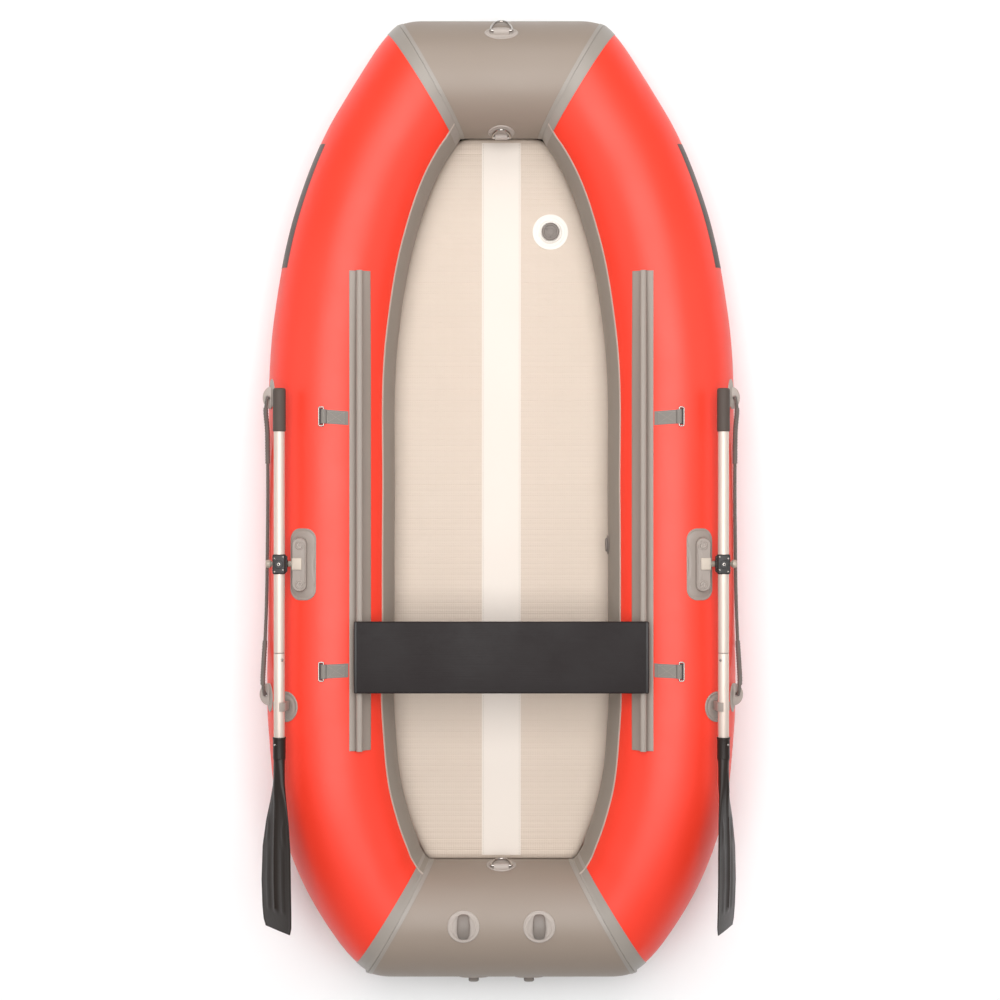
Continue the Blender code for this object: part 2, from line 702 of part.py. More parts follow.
def oar_blade(name, side, parent):
    """The moulded blade with its socket, tilted so that its outboard edge hangs low."""
    start, end = BLADE_Y
    sections = (
        (-0.660, 0.031, 0.030, 0.0, 0.0),
        (-0.740, 0.044, 0.024, 0.0, 0.001),
        (-0.790, 0.076, 0.016, 0.0, 0.003),
        (-0.840, 0.108, 0.012, 0.0, 0.006),
        (-0.910, 0.134, 0.010, 0.0, 0.009),
        (-1.000, 0.142, 0.008, 0.001, 0.010),
        (-1.070, 0.140, 0.006, 0.006, 0.008),
        (-1.105, 0.134, 0.005, 0.009, 0.006),
        (end + 0.010, 0.118, 0.004, 0.010, 0.005),
    )
    tilt = BLADE_TILT[name]
    centre = Vector((side * OAR_X, 0, OAR_Z))
    # across the blade runs from its low outboard edge to its high inboard edge
    across = Vector((-side * math.cos(tilt), 0, math.sin(tilt)))
    turn = Matrix((across, Y_AXIS, across.cross(Y_AXIS))).transposed().to_4x4()
    face = -1 if (turn @ Z_AXIS).z < 0 else 1
    rings = [blade_section(y, w, t, s, face * b) for y, w, t, s, b in sections]
    blade = loft(f"oar_blade_{name}", rings, "blade_plastic", Matrix.Translation(centre) @ turn, parent)
    bore = SHAFT_RADIUS + SHAFT_CLEAR
    cup = [(0, start - 0.035), (bore, start - 0.035), (bore, start), (0.0170, start), (0.0170, start - 0.055)]
    cup += [(0.0120, start - 0.075), (0, start - 0.075)]
    place = frame_of(centre, Z_AXIS, Y_AXIS)
    socket = turned(f"oar_blade_{name} socket", cup, None, place)
    return boolean(blade, [socket], "UNION")


def oar_clip(name, side):
    """The rubber clip on the tube: a hook over the inboard half of the stowed shaft."""
    radius = along_side(CLIP_Y)[1]

    def place(u, v, height):
        return on_side(side, CLIP_Y + v, CLIP_ANGLE + u / radius, height)

    pad = fitted_pad(name, arc(0.038, 0.038, 0, 337.5, 16), 0.003, place, "grey_rubber")
    bore = SHAFT_RADIUS + 0.0006
    hook = arc(0.0190, 0.0190, 98, 215, 8)
    hook += [(-0.0200, -0.0300), (-0.0220, -0.0540), (0.0070, -0.0775), (0.0120, -0.0300)]
    hook += [(0.0185, -0.0185), (0.0185, -0.0146), (0.0020, -bore)]
    hook += arc(bore, bore, 265, 98, 10)
    stand = Matrix(((side, 0, 0, side * OAR_X), (0, 0, -side, CLIP_Y), (0, 1, 0, OAR_Z), (0, 0, 0, 1)))
    arm = plate(f"{name} hook", [hook], 0.022, None, stand)
    return boolean(pad, [arm], "UNION")


def oars():
    """Both oars as they are stowed along the tubes, with their locks and clips."""
    for name, side in SIDES.items():
        lock_pad(f"oarlock_mount_{name}", side)
        lock_pin(f"oarlock_pin_{name}", side)
        oar_clip(f"oar_clip_{name}", side)
        rock = pivot(f"rock_{name}", (side * OAR_X, LOCK_Y, PIN_Z))
        oar_bracket(f"oar_bracket_{name}", side, rock)
        sweep = pivot(f"sweep_{name}", (side * OAR_X, LOCK_Y, OAR_Z), rock)
        oar_sleeve(f"oar_clamp_{name}", side, sweep)
        shaft_pieces(name, side, sweep)
        oar_blade(name, side, sweep)


# ---------------------------------------------------------------- rings, tabs, eyes and lines


def webbing_tab(where, name, side):
    """A webbing tab on top of a side tube, with the square ring at its outboard end."""
    y = TAB_YS[where]
    x, radius, _ = along_side(y)
    middle = (0.4400 - x) / radius

    def place(u, v, height):
        return on_side(side, y + v, middle + u / radius, height)

    half_u, loop_u = 0.0365, 0.0290
    pad = fitted_pad(f"tab_{where}_{name}", subdivided(stadium(half_u, 0.0185, 0.001, 2), 0.019), 0.0018, place, "webbing", 0.0006)
    foot = side_frame(side, y, middle + loop_u / radius, 0.0018)
    loop = (0.0370, (0.0075, 0.0066), (0.0036, 0.0050), radius, 0.0008)
    boolean(pad, [loop_over(f"tab_{where}_{name} loop", foot, *loop)], "UNION")
    bar = side_frame(side, y, middle + loop_u / radius, 0.0018 + 0.0023)
    ring(f"tab_ring_{where}_{name}", 0.050, 0.0125, bar, square=True, radius=0.0018)


def ear_root(y):
    """Where a rope eye's ear leaves the starboard tube, as x."""
    x, radius, _ = along_side(y)
    return x + math.sqrt(radius**2 - (ROPE_EYE_Z - 0.004 - radius) ** 2)


def rope_eye(where, name, side):
    """The lifeline's eye: a patch on the tube's shoulder and a flat ear with a hole."""
    y0, hole_x, edge_x = ROPE_EYES[where]
    radius = along_side(y0)[1]
    middle = math.acos((ROPE_EYE_Z - radius) / radius)

    def place(u, v, height):
        return on_side(side, y0 + v, middle + u / radius, height)

    pad = fitted_pad(f"rope_eye_{where}_{name}", arc(0.022, 0.036, 0, 330, 12), 0.0024, place, "grey_rubber", 0.002)
    root = ear_root(y0)
    ear = arc(edge_x - root, 0.032, -70, 70, 9, (root, y0))
    ear += [(ear_root(y0 + v) + 0.0012, y0 + v) for v in (0.032, 0, -0.032)]
    hole = arc(ROPE_RADIUS + 0.0007, ROPE_RADIUS + 0.0007, 0, 330, 12, (hole_x, y0))
    outlines = [[(side * x, y) for x, y in line] for line in (ear, hole)]
    level = Matrix.Translation((0, 0, ROPE_EYE_Z))
    boolean(pad, [plate(f"rope_eye_{where}_{name} ear", outlines, 0.008, None, level)], "UNION")


def smooth_route(corners, spacing):
    """Points at even spacing on a Catmull-Rom curve through the corners."""
    p = np.array([2 * np.array(corners[0]) - corners[1], *corners, 2 * np.array(corners[-1]) - corners[-2]])
    dense = []
    for a, b, c, d in zip(p, p[1:], p[2:], p[3:]):
        for t in np.linspace(0, 1, 24, endpoint=False):
            dense.append(0.5 * (2 * b + (c - a) * t + (2 * a - 5 * b + 4 * c - d) * t**2 + (3 * b - a - 3 * c + d) * t**3))
    dense = np.array([*dense, p[-2]])
    run = np.concatenate([[0], np.cumsum(np.linalg.norm(np.diff(dense, axis=0), axis=1))])
    even = np.linspace(0, run[-1], int(run[-1] / spacing) + 1)
    return [tuple(float(np.interp(at, run, dense[:, k])) for k in range(3)) for at in even]


def lifeline(name, side):
    """The grab line: up through the front eye, along the side in a slack curve and down the rear eye."""
    (front_y, front_x, _), (rear_y, rear_x, _) = ROPE_EYES["front"], ROPE_EYES["rear"]
    route = (
        (front_x, front_y, 0.2330),
        (front_x, front_y, 0.2470),
        (front_x + 0.0002, front_y - 0.0030, 0.2590),
        (front_x + 0.0010, front_y - 0.0170, 0.2700),
        (front_x + 0.0024, front_y - 0.0400, 0.2690),
        (0.6280, 0.1900, 0.2530),
        (0.6295, 0.1100, 0.2310),
        (0.6303, 0.0100, 0.2218),
        (0.6316, -0.1200, 0.2210),
        (0.6335, -0.2500, 0.2200),
        (0.6370, -0.3600, 0.2230),
        (0.6390, -0.4300, 0.2420),
        (rear_x + 0.0034, rear_y + 0.0400, 0.2680),
        (rear_x + 0.0014, rear_y + 0.0170, 0.2700),
        (rear_x + 0.0002, rear_y + 0.0030, 0.2590),
        (rear_x, rear_y, 0.2470),
        (rear_x, rear_y, 0.2330),
    )
    corners = [(side * x, y, z) for x, y, z in route]
    wire(f"lifeline_{name}", smooth_route(corners, 0.0160), ROPE_RADIUS, "rope")


def end_pad(name, end, x, angle, outline, loop_angle, loop_width, outer, inner):
    """A patch on the bow or stern tube with a loop standing on it."""
    radius = end_tube(end)[1]

    def place(u, v, height):
        return on_end(end, x + v, angle + u / radius, height)

    pad = fitted_pad(name, outline, 0.003, place, "grey_rubber")
    foot = end_frame(end, x, loop_angle, 0.003)
    loop = loop_over(f"{name} loop", foot, loop_width, outer, inner, radius, 0.0015)
    return boolean(pad, [loop], "UNION")


def end_ring(name, end, turns, width, patch, loop_width):
    """A D-ring on the bow or stern tube, from its bar's angle to its tip's, and the patch that holds it."""
    start, stop = (math.radians(turn) for turn in turns)
    loop = (loop_width, (0.0092, 0.0108), (0.0046, 0.0086))
    end_pad(f"{name}_patch", end, 0, math.radians(patch[0]), arc(*patch[1:], 0, 340, 18), start, *loop)
    bar, tip = on_end(end, 0, start, 0.0083), on_end(end, 0, stop, 0.0083)
    middle = end_frame(end, 0, (start + stop) / 2, 0)
    normal = middle.to_3x3() @ Z_AXIS
    ring(name, width, (tip - bar).length, frame_of(bar, tip - bar, normal))


def end_fittings():
    """The tow ring, the two rings inside the boat and the four eyes on the stern."""
    end_ring("tow_ring", 1, (40, 58), 0.058, (40, 0.0245, 0.0450), 0.042)
    end_ring("inner_bow_ring", 1, (-80, -64), 0.048, (-74, 0.036, 0.036), 0.034)
    end_ring("inner_stern_ring", -1, (-68, -84), 0.056, (-75, 0.034, 0.040), 0.040)
    eye = arc(0.0430, 0.0430, 0, 340, 18)
    loop = ((0.0335, 0.0165), (0.0230, 0.0105))
    for name, side in SIDES.items():
        up, back = math.radians(-3), math.radians(92)
        end_pad(f"stern_eye_upper_{name}", -1, side * 0.1005, up, eye, up, 0.036, *loop)
        end_pad(f"stern_eye_lower_{name}", -1, side * 0.0755, back, eye, back, 0.028, *loop)


def fittings():
    """What is fastened to the tubes."""
    for name, side in SIDES.items():
        for where in TAB_YS:
            webbing_tab(where, name, side)
        for where in ROPE_EYES:
            rope_eye(where, name, side)
        lifeline(name, side)
    end_fittings()


def main():
    """Builds the boat."""
    clear_scene()
    hull()
    floor_valve()
    side_valve()
    seat()
    oars()
    fittings()


main()
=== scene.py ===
import logging
import math
from collections.abc import Callable, Iterable, Sequence
from dataclasses import dataclass
from enum import Enum

import bmesh
import bpy
import numpy as np
from mathutils import Matrix, Vector


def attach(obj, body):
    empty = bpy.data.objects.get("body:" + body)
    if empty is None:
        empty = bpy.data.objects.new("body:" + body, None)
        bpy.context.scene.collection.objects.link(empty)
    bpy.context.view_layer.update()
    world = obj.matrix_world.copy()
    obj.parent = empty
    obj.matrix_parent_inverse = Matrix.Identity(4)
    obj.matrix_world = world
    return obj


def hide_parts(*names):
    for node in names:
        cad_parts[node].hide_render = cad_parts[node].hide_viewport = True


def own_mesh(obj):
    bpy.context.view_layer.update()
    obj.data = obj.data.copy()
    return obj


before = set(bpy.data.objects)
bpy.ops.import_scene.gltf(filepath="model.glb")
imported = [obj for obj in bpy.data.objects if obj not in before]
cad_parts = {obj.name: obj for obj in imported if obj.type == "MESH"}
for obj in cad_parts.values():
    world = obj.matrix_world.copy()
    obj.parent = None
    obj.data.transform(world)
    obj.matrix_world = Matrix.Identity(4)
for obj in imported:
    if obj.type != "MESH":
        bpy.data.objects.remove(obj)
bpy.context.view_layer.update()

LOG = logging.getLogger("dinghy")
Colour = tuple[float, float, float]
Point2 = tuple[float, float]
Place = Callable[[float, float, float], Vector]
Node = bpy.types.Node
Socket = bpy.types.NodeSocket

X_AXIS, Y_AXIS, Z_AXIS = Vector((1, 0, 0)), Vector((0, 1, 0)), Vector((0, 0, 1))
SIDES = {"port": -1, "starboard": 1}
TABS_Y = {"front": 0.2255, "rear": -0.447}


# ---------------------------------------------------------------- finishes


class Pattern(Enum):
    """The small relief that a finish has."""

    COATED = "coated fabric"
    FLOOR = "ribbed floor fabric"
    STRIP = "smooth strip"
    RUBBER = "moulded rubber"
    BRUSHED = "brushed board"
    WEBBING = "woven webbing"
    ROPE = "braided rope"
    PLASTIC = "moulded plastic"
    DRAWN = "drawn metal"
    POLISHED = "polished metal"


def linear(colour: Colour) -> tuple[float, float, float, float]:
    """Turns screen values from 0 to 255 into a linear colour with alpha."""
    shares = [c / 255 for c in colour]
    return (*[s / 12.92 if s <= 0.04045 else ((s + 0.055) / 1.055) ** 2.4 for s in shares], 1.0)


class Graph:
    """A small hand for building node trees."""

    def __init__(self, tree: bpy.types.NodeTree) -> None:
        """Args: tree: the node tree to build in."""
        self.tree = tree

    def add(self, kind: str, inputs: dict[int | str, object] | None = None, **settings: object) -> Node:
        """Adds a node.

        Args:
            kind: the node's type name.
            inputs: values or sockets for its inputs.
            settings: the node's own properties.

        Returns:
            The node.
        """
        node = self.tree.nodes.new(kind)
        for name, value in settings.items():
            setattr(node, name, value)
        for key, value in (inputs or {}).items():
            if isinstance(value, bpy.types.NodeSocket):
                self.tree.links.new(value, node.inputs[key])
            else:
                node.inputs[key].default_value = value
        return node

    def maths(self, operation: str, *values: object) -> Socket:
        """Adds a Math node and returns its output."""
        return self.add("ShaderNodeMath", dict(enumerate(values)), operation=operation).outputs[0]


def group_tree(name: str, inputs: dict[str, tuple[str, object]], outputs: dict[str, str]) -> Graph | None:
    """Starts a shader node group.

    Args:
        name: the group's name.
        inputs: each input's socket type and default.
        outputs: each output's socket type.

    Returns:
        The graph to fill, or None where the group is there already.
    """
    if name in bpy.data.node_groups:
        return None
    tree = bpy.data.node_groups.new(name, "ShaderNodeTree")
    for title, (kind, default) in inputs.items():
        socket = tree.interface.new_socket(title, in_out="INPUT", socket_type=kind)
        if default is not None:
            socket.default_value = default
    for title, kind in outputs.items():
        tree.interface.new_socket(title, in_out="OUTPUT", socket_type=kind)
    graph = Graph(tree)
    graph.add("NodeGroupInput")
    graph.add("NodeGroupOutput")
    return graph


def ends(graph: Graph) -> tuple[Node, Node]:
    """The group's input and output nodes."""
    return graph.tree.nodes["Group Input"], graph.tree.nodes["Group Output"]


def tone_group() -> bpy.types.NodeTree:
    """Cloudy wear over a colour, and the sheen that varies with it."""
    floats = "NodeSocketFloat"
    graph = group_tree(
        "worn tone",
        {"Vector": ("NodeSocketVector", None), "Colour": ("NodeSocketColor", (1, 1, 1, 1)),
         "Size": (floats, 6.0),
         "Amount": (floats, 0.1), "Dullest": (floats, 0.6), "Shiniest": (floats, 0.4)},
        {"Colour": "NodeSocketColor", "Roughness": floats},
    )
    if graph:
        start, end = ends(graph)
        broad = graph.add("ShaderNodeTexNoise", {"Vector": start.outputs["Vector"],
                                                 "Scale": start.outputs["Size"],
                                                 "Detail": 4.0, "Roughness": 0.6})
        fine = graph.add("ShaderNodeTexNoise", {"Vector": start.outputs["Vector"], "Scale": 140.0,
                                                "Detail": 2.0})
        both = graph.maths("ADD", graph.maths("MULTIPLY", broad.outputs[0], 0.75),
                           graph.maths("MULTIPLY", fine.outputs[0], 0.25))
        lift = graph.maths("MULTIPLY", graph.maths("SUBTRACT", both, 0.5), start.outputs["Amount"])
        value = graph.maths("ADD", lift, 1.0)
        tint = graph.add("ShaderNodeHueSaturation", {"Value": value, "Color": start.outputs["Colour"]})
        rough = graph.add("ShaderNodeMapRange", {"Value": both, "From Min": 0.3, "From Max": 0.7,
                                                 "To Min": start.outputs["Shiniest"],
                                                 "To Max": start.outputs["Dullest"]})
        graph.tree.links.new(tint.outputs[0], end.inputs["Colour"])
        graph.tree.links.new(rough.outputs[0], end.inputs["Roughness"])
    return bpy.data.node_groups["worn tone"]


def weave_group() -> bpy.types.NodeTree:
    """Two crossed rows of threads, as a height."""
    graph = group_tree(
        "weave",
        {"Vector": ("NodeSocketVector", None), "Across": ("NodeSocketFloat", 400.0),
         "Along": ("NodeSocketFloat", 400.0)},
        {"Height": "NodeSocketFloat"},
    )
    if graph:
        start, end = ends(graph)
        part = graph.add("ShaderNodeSeparateXYZ", {0: start.outputs["Vector"]})
        warp = graph.maths("SINE", graph.maths("MULTIPLY", part.outputs[0], start.outputs["Across"]))
        weft = graph.maths("SINE", graph.maths("MULTIPLY", part.outputs[1], start.outputs["Along"]))
        height = graph.maths("MULTIPLY", warp, weft)
        graph.tree.links.new(height, end.inputs["Height"])
    return bpy.data.node_groups["weave"]


def crumple_group() -> bpy.types.NodeTree:
    """Soft puckers and grain together, as a height."""
    graph = group_tree(
        "crumple",
        {"Vector": ("NodeSocketVector", None), "Size": ("NodeSocketFloat", 8.0),
         "Grain": ("NodeSocketFloat", 300.0),
         "Share": ("NodeSocketFloat", 0.15)},
        {"Height": "NodeSocketFloat"},
    )
    if graph:
        start, end = ends(graph)
        soft = graph.add("ShaderNodeTexNoise", {"Vector": start.outputs["Vector"],
                                                "Scale": start.outputs["Size"],
                                                "Detail": 3.0, "Distortion": 0.4})
        grain = graph.add("ShaderNodeTexNoise", {"Vector": start.outputs["Vector"],
                                                 "Scale": start.outputs["Grain"],
                                                 "Detail": 1.0})
        fine = graph.maths("MULTIPLY", grain.outputs[0], start.outputs["Share"])
        height = graph.maths("ADD", soft.outputs[0], fine)
        graph.tree.links.new(height, end.inputs["Height"])
    return bpy.data.node_groups["crumple"]


@dataclass(frozen=True)
class Finish:
    """One finish: its colour, gloss and relief, and the record's slot that it belongs to."""

    name: str
    slot: str
    colour: Colour
    pattern: Pattern
    shiniest: float = 0.38
    dullest: float = 0.52
    wear: float = 0.12
    relief: float = 0.15
    metallic: float = 0.0
    sheen: float = 0.0
    gloss: float = 0.5

    def material(self) -> bpy.types.Material:
        """The material, made once."""
        found = bpy.data.materials.get(self.name)
        if found:
            return found
        made = bpy.data.materials.new(self.name)
        made.use_nodes = True
        made.diffuse_color = linear(self.colour)
        graph = Graph(made.node_tree)
        shader = made.node_tree.nodes["Principled BSDF"]
        spot = graph.add("ShaderNodeTexCoord")
        tone = graph.add("ShaderNodeGroup", node_tree=tone_group())
        for title, value in (("Colour", linear(self.colour)), ("Amount", self.wear),
                             ("Dullest", self.dullest), ("Shiniest", self.shiniest)):
            tone.inputs[title].default_value = value
        made.node_tree.links.new(spot.outputs["Object"], tone.inputs["Vector"])
        made.node_tree.links.new(tone.outputs["Colour"], shader.inputs["Base Color"])
        made.node_tree.links.new(tone.outputs["Roughness"], shader.inputs["Roughness"])
        shader.inputs["Metallic"].default_value = self.metallic
        shader.inputs["Sheen Weight"].default_value = self.sheen
        shader.inputs["Specular IOR Level"].default_value = self.gloss
        height, distance = self.height(graph, spot)
        bump = graph.add("ShaderNodeBump", {"Strength": self.relief, "Distance": distance, "Height": height})
        made.node_tree.links.new(bump.outputs[0], shader.inputs["Normal"])
        return made

    def height(self, graph: Graph, spot: Node) -> tuple[Socket, float]:
        """The finish's relief.

        Args:
            graph: the material's graph.
            spot: its Texture Coordinate node.

        Returns:
            The height's socket, and how deep its full range is in metres.
        """
        place, flat = spot.outputs["Object"], spot.outputs["UV"]
        if self.pattern is Pattern.FLOOR:
            part = graph.add("ShaderNodeSeparateXYZ", {0: place})
            wave = graph.maths("SINE", graph.maths("MULTIPLY", part.outputs[1], math.pi / 0.0155))
            ribs = graph.maths("ABSOLUTE", wave)
            turn = graph.add("ShaderNodeMapping", {"Vector": place, "Rotation": (0, 0, math.radians(45))})
            weave = graph.add("ShaderNodeGroup", {"Vector": turn.outputs[0], "Across": 900.0, "Along": 900.0},
                              node_tree=weave_group())
            soft = graph.add("ShaderNodeGroup", {"Vector": place, "Size": 9.0, "Grain": 200.0, "Share": 0.1},
                             node_tree=crumple_group())
            raised = graph.maths("MULTIPLY", graph.maths("POWER", ribs, 0.35), 0.6)
            detail = graph.maths("ADD", raised, graph.maths("MULTIPLY", weave.outputs[0], 0.16))
            return graph.maths("ADD", detail, graph.maths("MULTIPLY", soft.outputs[0], 1.6)), 0.004
        if self.pattern is Pattern.BRUSHED:
            stretch = graph.add("ShaderNodeMapping", {"Vector": place, "Scale": (6.0, 420.0, 60.0)})
            grain = graph.add("ShaderNodeTexNoise", {"Vector": stretch.outputs[0], "Scale": 1.0,
                                                     "Detail": 4.0})
            return grain.outputs[0], 0.0006
        if self.pattern is Pattern.DRAWN:
            stretch = graph.add("ShaderNodeMapping", {"Vector": place, "Scale": (500.0, 12.0, 500.0)})
            grain = graph.add("ShaderNodeTexNoise", {"Vector": stretch.outputs[0], "Scale": 1.0,
                                                     "Detail": 3.0})
            return grain.outputs[0], 0.0002
        if self.pattern is Pattern.WEBBING:
            weave = graph.add("ShaderNodeGroup", {"Vector": place, "Across": 2600.0, "Along": 1500.0},
                              node_tree=weave_group())
            return weave.outputs[0], 0.0005
        if self.pattern is Pattern.ROPE:
            part = graph.add("ShaderNodeSeparateXYZ", {0: flat})
            across = graph.maths("MULTIPLY", part.outputs[0], math.tau * 3)
            along = graph.maths("MULTIPLY", part.outputs[1], math.tau / 0.011)
            left = graph.maths("SINE", graph.maths("ADD", along, across))
            right = graph.maths("SINE", graph.maths("SUBTRACT", along, across))
            return graph.maths("MAXIMUM", left, right), 0.0010
        if self.pattern is Pattern.COATED:
            soft = graph.add("ShaderNodeGroup", {"Vector": place, "Size": 5.0, "Grain": 900.0, "Share": 0.02},
                             node_tree=crumple_group())
            return soft.outputs[0], 0.012
        sizes = {Pattern.RUBBER: (60.0, 900.0, 0.5), Pattern.STRIP: (7.0, 500.0, 0.03)}
        size, grain, share = sizes.get(self.pattern, (120.0, 1400.0, 0.4))
        soft = graph.add("ShaderNodeGroup", {"Vector": place, "Size": size, "Grain": grain, "Share": share},
                         node_tree=crumple_group())
        return soft.outputs[0], 0.006 if self.pattern is Pattern.STRIP else 0.0006


RED = Finish("red coated fabric", "red_fabric", (236, 56, 34), Pattern.COATED, 0.40, 0.50, 0.05, 0.10)
GREY = Finish("grey coated fabric", "grey_fabric", (141, 127, 115), Pattern.COATED, 0.42, 0.54, 0.06, 0.10)
TAPE = Finish("seam tape", "grey_fabric", (136, 127, 117), Pattern.COATED, 0.42, 0.55, 0.08, 0.10)
CORNER = Finish("corner tape", "grey_fabric", (147, 139, 131), Pattern.COATED, 0.34, 0.46, 0.10, 0.12)
EDGE = Finish("tape edge", "grey_fabric", (182, 167, 156), Pattern.RUBBER, 0.45, 0.60, 0.08, 0.20)
BOTTOM = Finish("bottom fabric", "bottom_fabric", (92, 87, 83), Pattern.COATED, 0.50, 0.65, 0.10, 0.20)
FLOOR = Finish("floor fabric", "floor_fabric", (203, 187, 172), Pattern.FLOOR, 0.50, 0.65, 0.05, 0.35)
STRIP = Finish("centre strip", "floor_fabric", (217, 207, 197), Pattern.STRIP, 0.42, 0.55, 0.03, 0.10)
RUBBER = Finish("grey rubber", "grey_rubber", (122, 113, 106), Pattern.RUBBER, 0.45, 0.62, 0.10, 0.20)
MOUNT = Finish("moulded mount", "grey_rubber", (146, 135, 127), Pattern.RUBBER, 0.45, 0.62, 0.10, 0.20)
PAD = Finish("pale rubber pad", "grey_rubber", (168, 157, 149), Pattern.RUBBER, 0.45, 0.60, 0.08, 0.20)
RAIL = Finish("rail rubber", "grey_rubber", (144, 133, 124), Pattern.RUBBER, 0.42, 0.58, 0.10, 0.20)
WHITE = Finish("white plastic", "white_plastic", (226, 219, 211), Pattern.PLASTIC, 0.32, 0.45, 0.03, 0.15)
WEBBING = Finish("webbing", "webbing", (142, 132, 123), Pattern.WEBBING, 0.75, 0.92, 0.15, 0.60, sheen=0.2)
THREAD = Finish("stitching", "webbing", (160, 150, 140), Pattern.RUBBER, 0.70, 0.85, 0.05, 0.20)
ROPE = Finish("grab line", "rope", (104, 97, 90), Pattern.ROPE, 0.75, 0.90, 0.20, 0.90, sheen=0.2)
BOARD = Finish("seat board", "seat_board", (31, 25, 25), Pattern.BRUSHED, 0.50, 0.70, 0.45, 0.60, gloss=0.25)
BLACK = Finish("black plastic", "black_plastic", (34, 31, 30), Pattern.PLASTIC, 0.34, 0.50, 0.15,
               0.25, gloss=0.4)
GRIP = Finish("grip foam", "black_plastic", (78, 68, 62), Pattern.RUBBER, 0.55, 0.70, 0.10, 0.25, gloss=0.3)
BLADE = Finish("blade plastic", "blade_plastic", (36, 28, 24), Pattern.PLASTIC, 0.32, 0.44, 0.15,
               0.20, gloss=0.28)
ALUMINIUM = Finish("oar tube", "aluminium", (212, 196, 185), Pattern.DRAWN, 0.44, 0.56, 0.06, 0.20, 0.45)
STEEL = Finish("bright steel", "steel", (176, 170, 164), Pattern.POLISHED, 0.16, 0.28, 0.05, 0.05, 1.0)
CAST = Finish("cast alloy", "steel", (176, 164, 151), Pattern.RUBBER, 0.42, 0.58, 0.10, 0.30, 0.3)
SLEEVE = Finish("line sleeve", "rope", (108, 100, 94), Pattern.RUBBER, 0.55, 0.75, 0.15, 0.30)
INK = Finish("printed patch", "red_fabric", (58, 46, 38), Pattern.COATED, 0.40, 0.55, 0.35, 0.08)


# ---------------------------------------------------------------- meshes


def make_mesh(name: str, points: Iterable[Sequence[float]], faces: Iterable[Sequence[int]],
              sharp: float = 38) -> bpy.types.Mesh:
    """A closed mesh that faces out and is smooth up to a sharp angle.

    Args:
        name: the mesh's name.
        points: its vertices.
        faces: vertex numbers of each face.
        sharp: edges that turn by more than this many degrees stay crisp.

    Returns:
        The mesh.
    """
    mesh = bpy.data.meshes.new(name)
    mesh.from_pydata([tuple(p) for p in points], [], [tuple(f) for f in faces])
    return tidy(mesh, sharp)


def tidy(mesh: bpy.types.Mesh, sharp: float = 38) -> bpy.types.Mesh:
    """Welds doubles, turns the faces out and shades the mesh smooth."""
    solid = bmesh.new()
    solid.from_mesh(mesh)
    bmesh.ops.remove_doubles(solid, verts=solid.verts, dist=0.000005)
    bmesh.ops.recalc_face_normals(solid, faces=solid.faces)
    solid.to_mesh(mesh)
    solid.free()
    mesh.shade_smooth()
    mesh.set_sharp_from_angle(angle=math.radians(sharp))
    return mesh


def joined(name: str, meshes: Sequence[bpy.types.Mesh]) -> bpy.types.Mesh:
    """One mesh of several, each kept a closed shell."""
    solid = bmesh.new()
    for mesh in meshes:
        solid.from_mesh(mesh)
    made = bpy.data.meshes.new(name)
    solid.to_mesh(made)
    solid.free()
    made.shade_smooth()
    made.set_sharp_from_angle(angle=math.radians(38))
    return made


def even_turns(count: int) -> list[float]:
    """Angles at even steps round a full turn."""
    return [math.tau * k / count for k in range(count)]


def ring_faces(rings: int, count: int, first: int = 0) -> list[tuple[int, ...]]:
    """The quads between rings that have the same number of points."""
    faces = []
    for i in range(rings - 1):
        for k in range(count):
            a, b = first + i * count + k, first + i * count + (k + 1) % count
            faces.append((a, b, b + count, a + count))
    return faces


def loft(name: str, rings: Sequence[Sequence[Vector]], sharp: float = 38) -> bpy.types.Mesh:
    """A closed solid through rings of points, capped at both ends."""
    count = len(rings[0])
    points = [p for ring in rings for p in ring]
    faces = ring_faces(len(rings), count)
    for first, ring in ((0, rings[0]), (len(points) - count, rings[-1])):
        middle = sum((Vector(p) for p in ring), Vector()) / count
        points.append(middle)
        faces += [(first + k, first + (k + 1) % count, len(points) - 1) for k in range(count)]
    return make_mesh(name, points, faces, sharp)


def hoop(name: str, rings: Sequence[Sequence[Vector]], sharp: float = 60) -> bpy.types.Mesh:
    """A closed ring-shaped solid: the last ring of points joins the first."""
    count, total = len(rings[0]), len(rings)
    points = [p for ring in rings for p in ring]
    faces = []
    for i in range(total):
        for k in range(count):
            a, b = i * count + k, i * count + (k + 1) % count
            c, d = (i + 1) % total * count + (k + 1) % count, (i + 1) % total * count + k
            faces.append((a, b, c, d))
    return make_mesh(name, points, faces, sharp)


def rounded(outline: Sequence[Point2], radius: float, steps: int = 3, closed: bool = True) -> list[Point2]:
    """The outline with its corners rounded.

    Args:
        outline: its corners.
        radius: how far from each corner the rounding starts, at most.
        steps: how many points each rounding has, less one.
        closed: whether the last corner joins the first.

    Returns:
        The new outline.
    """
    made: list[Point2] = []
    count = len(outline)
    for i, corner in enumerate(outline):
        if not closed and i in (0, count - 1):
            made.append(corner)
            continue
        here = Vector(corner)
        back, ahead = Vector(outline[i - 1]) - here, Vector(outline[(i + 1) % count]) - here
        cut = min(radius, back.length * 0.45, ahead.length * 0.45)
        start, stop = here + back.normalized() * cut, here + ahead.normalized() * cut
        for k in range(steps + 1):
            t = k / steps
            p = start * (1 - t) ** 2 + here * 2 * t * (1 - t) + stop * t**2
            made.append((p.x, p.y))
    return made


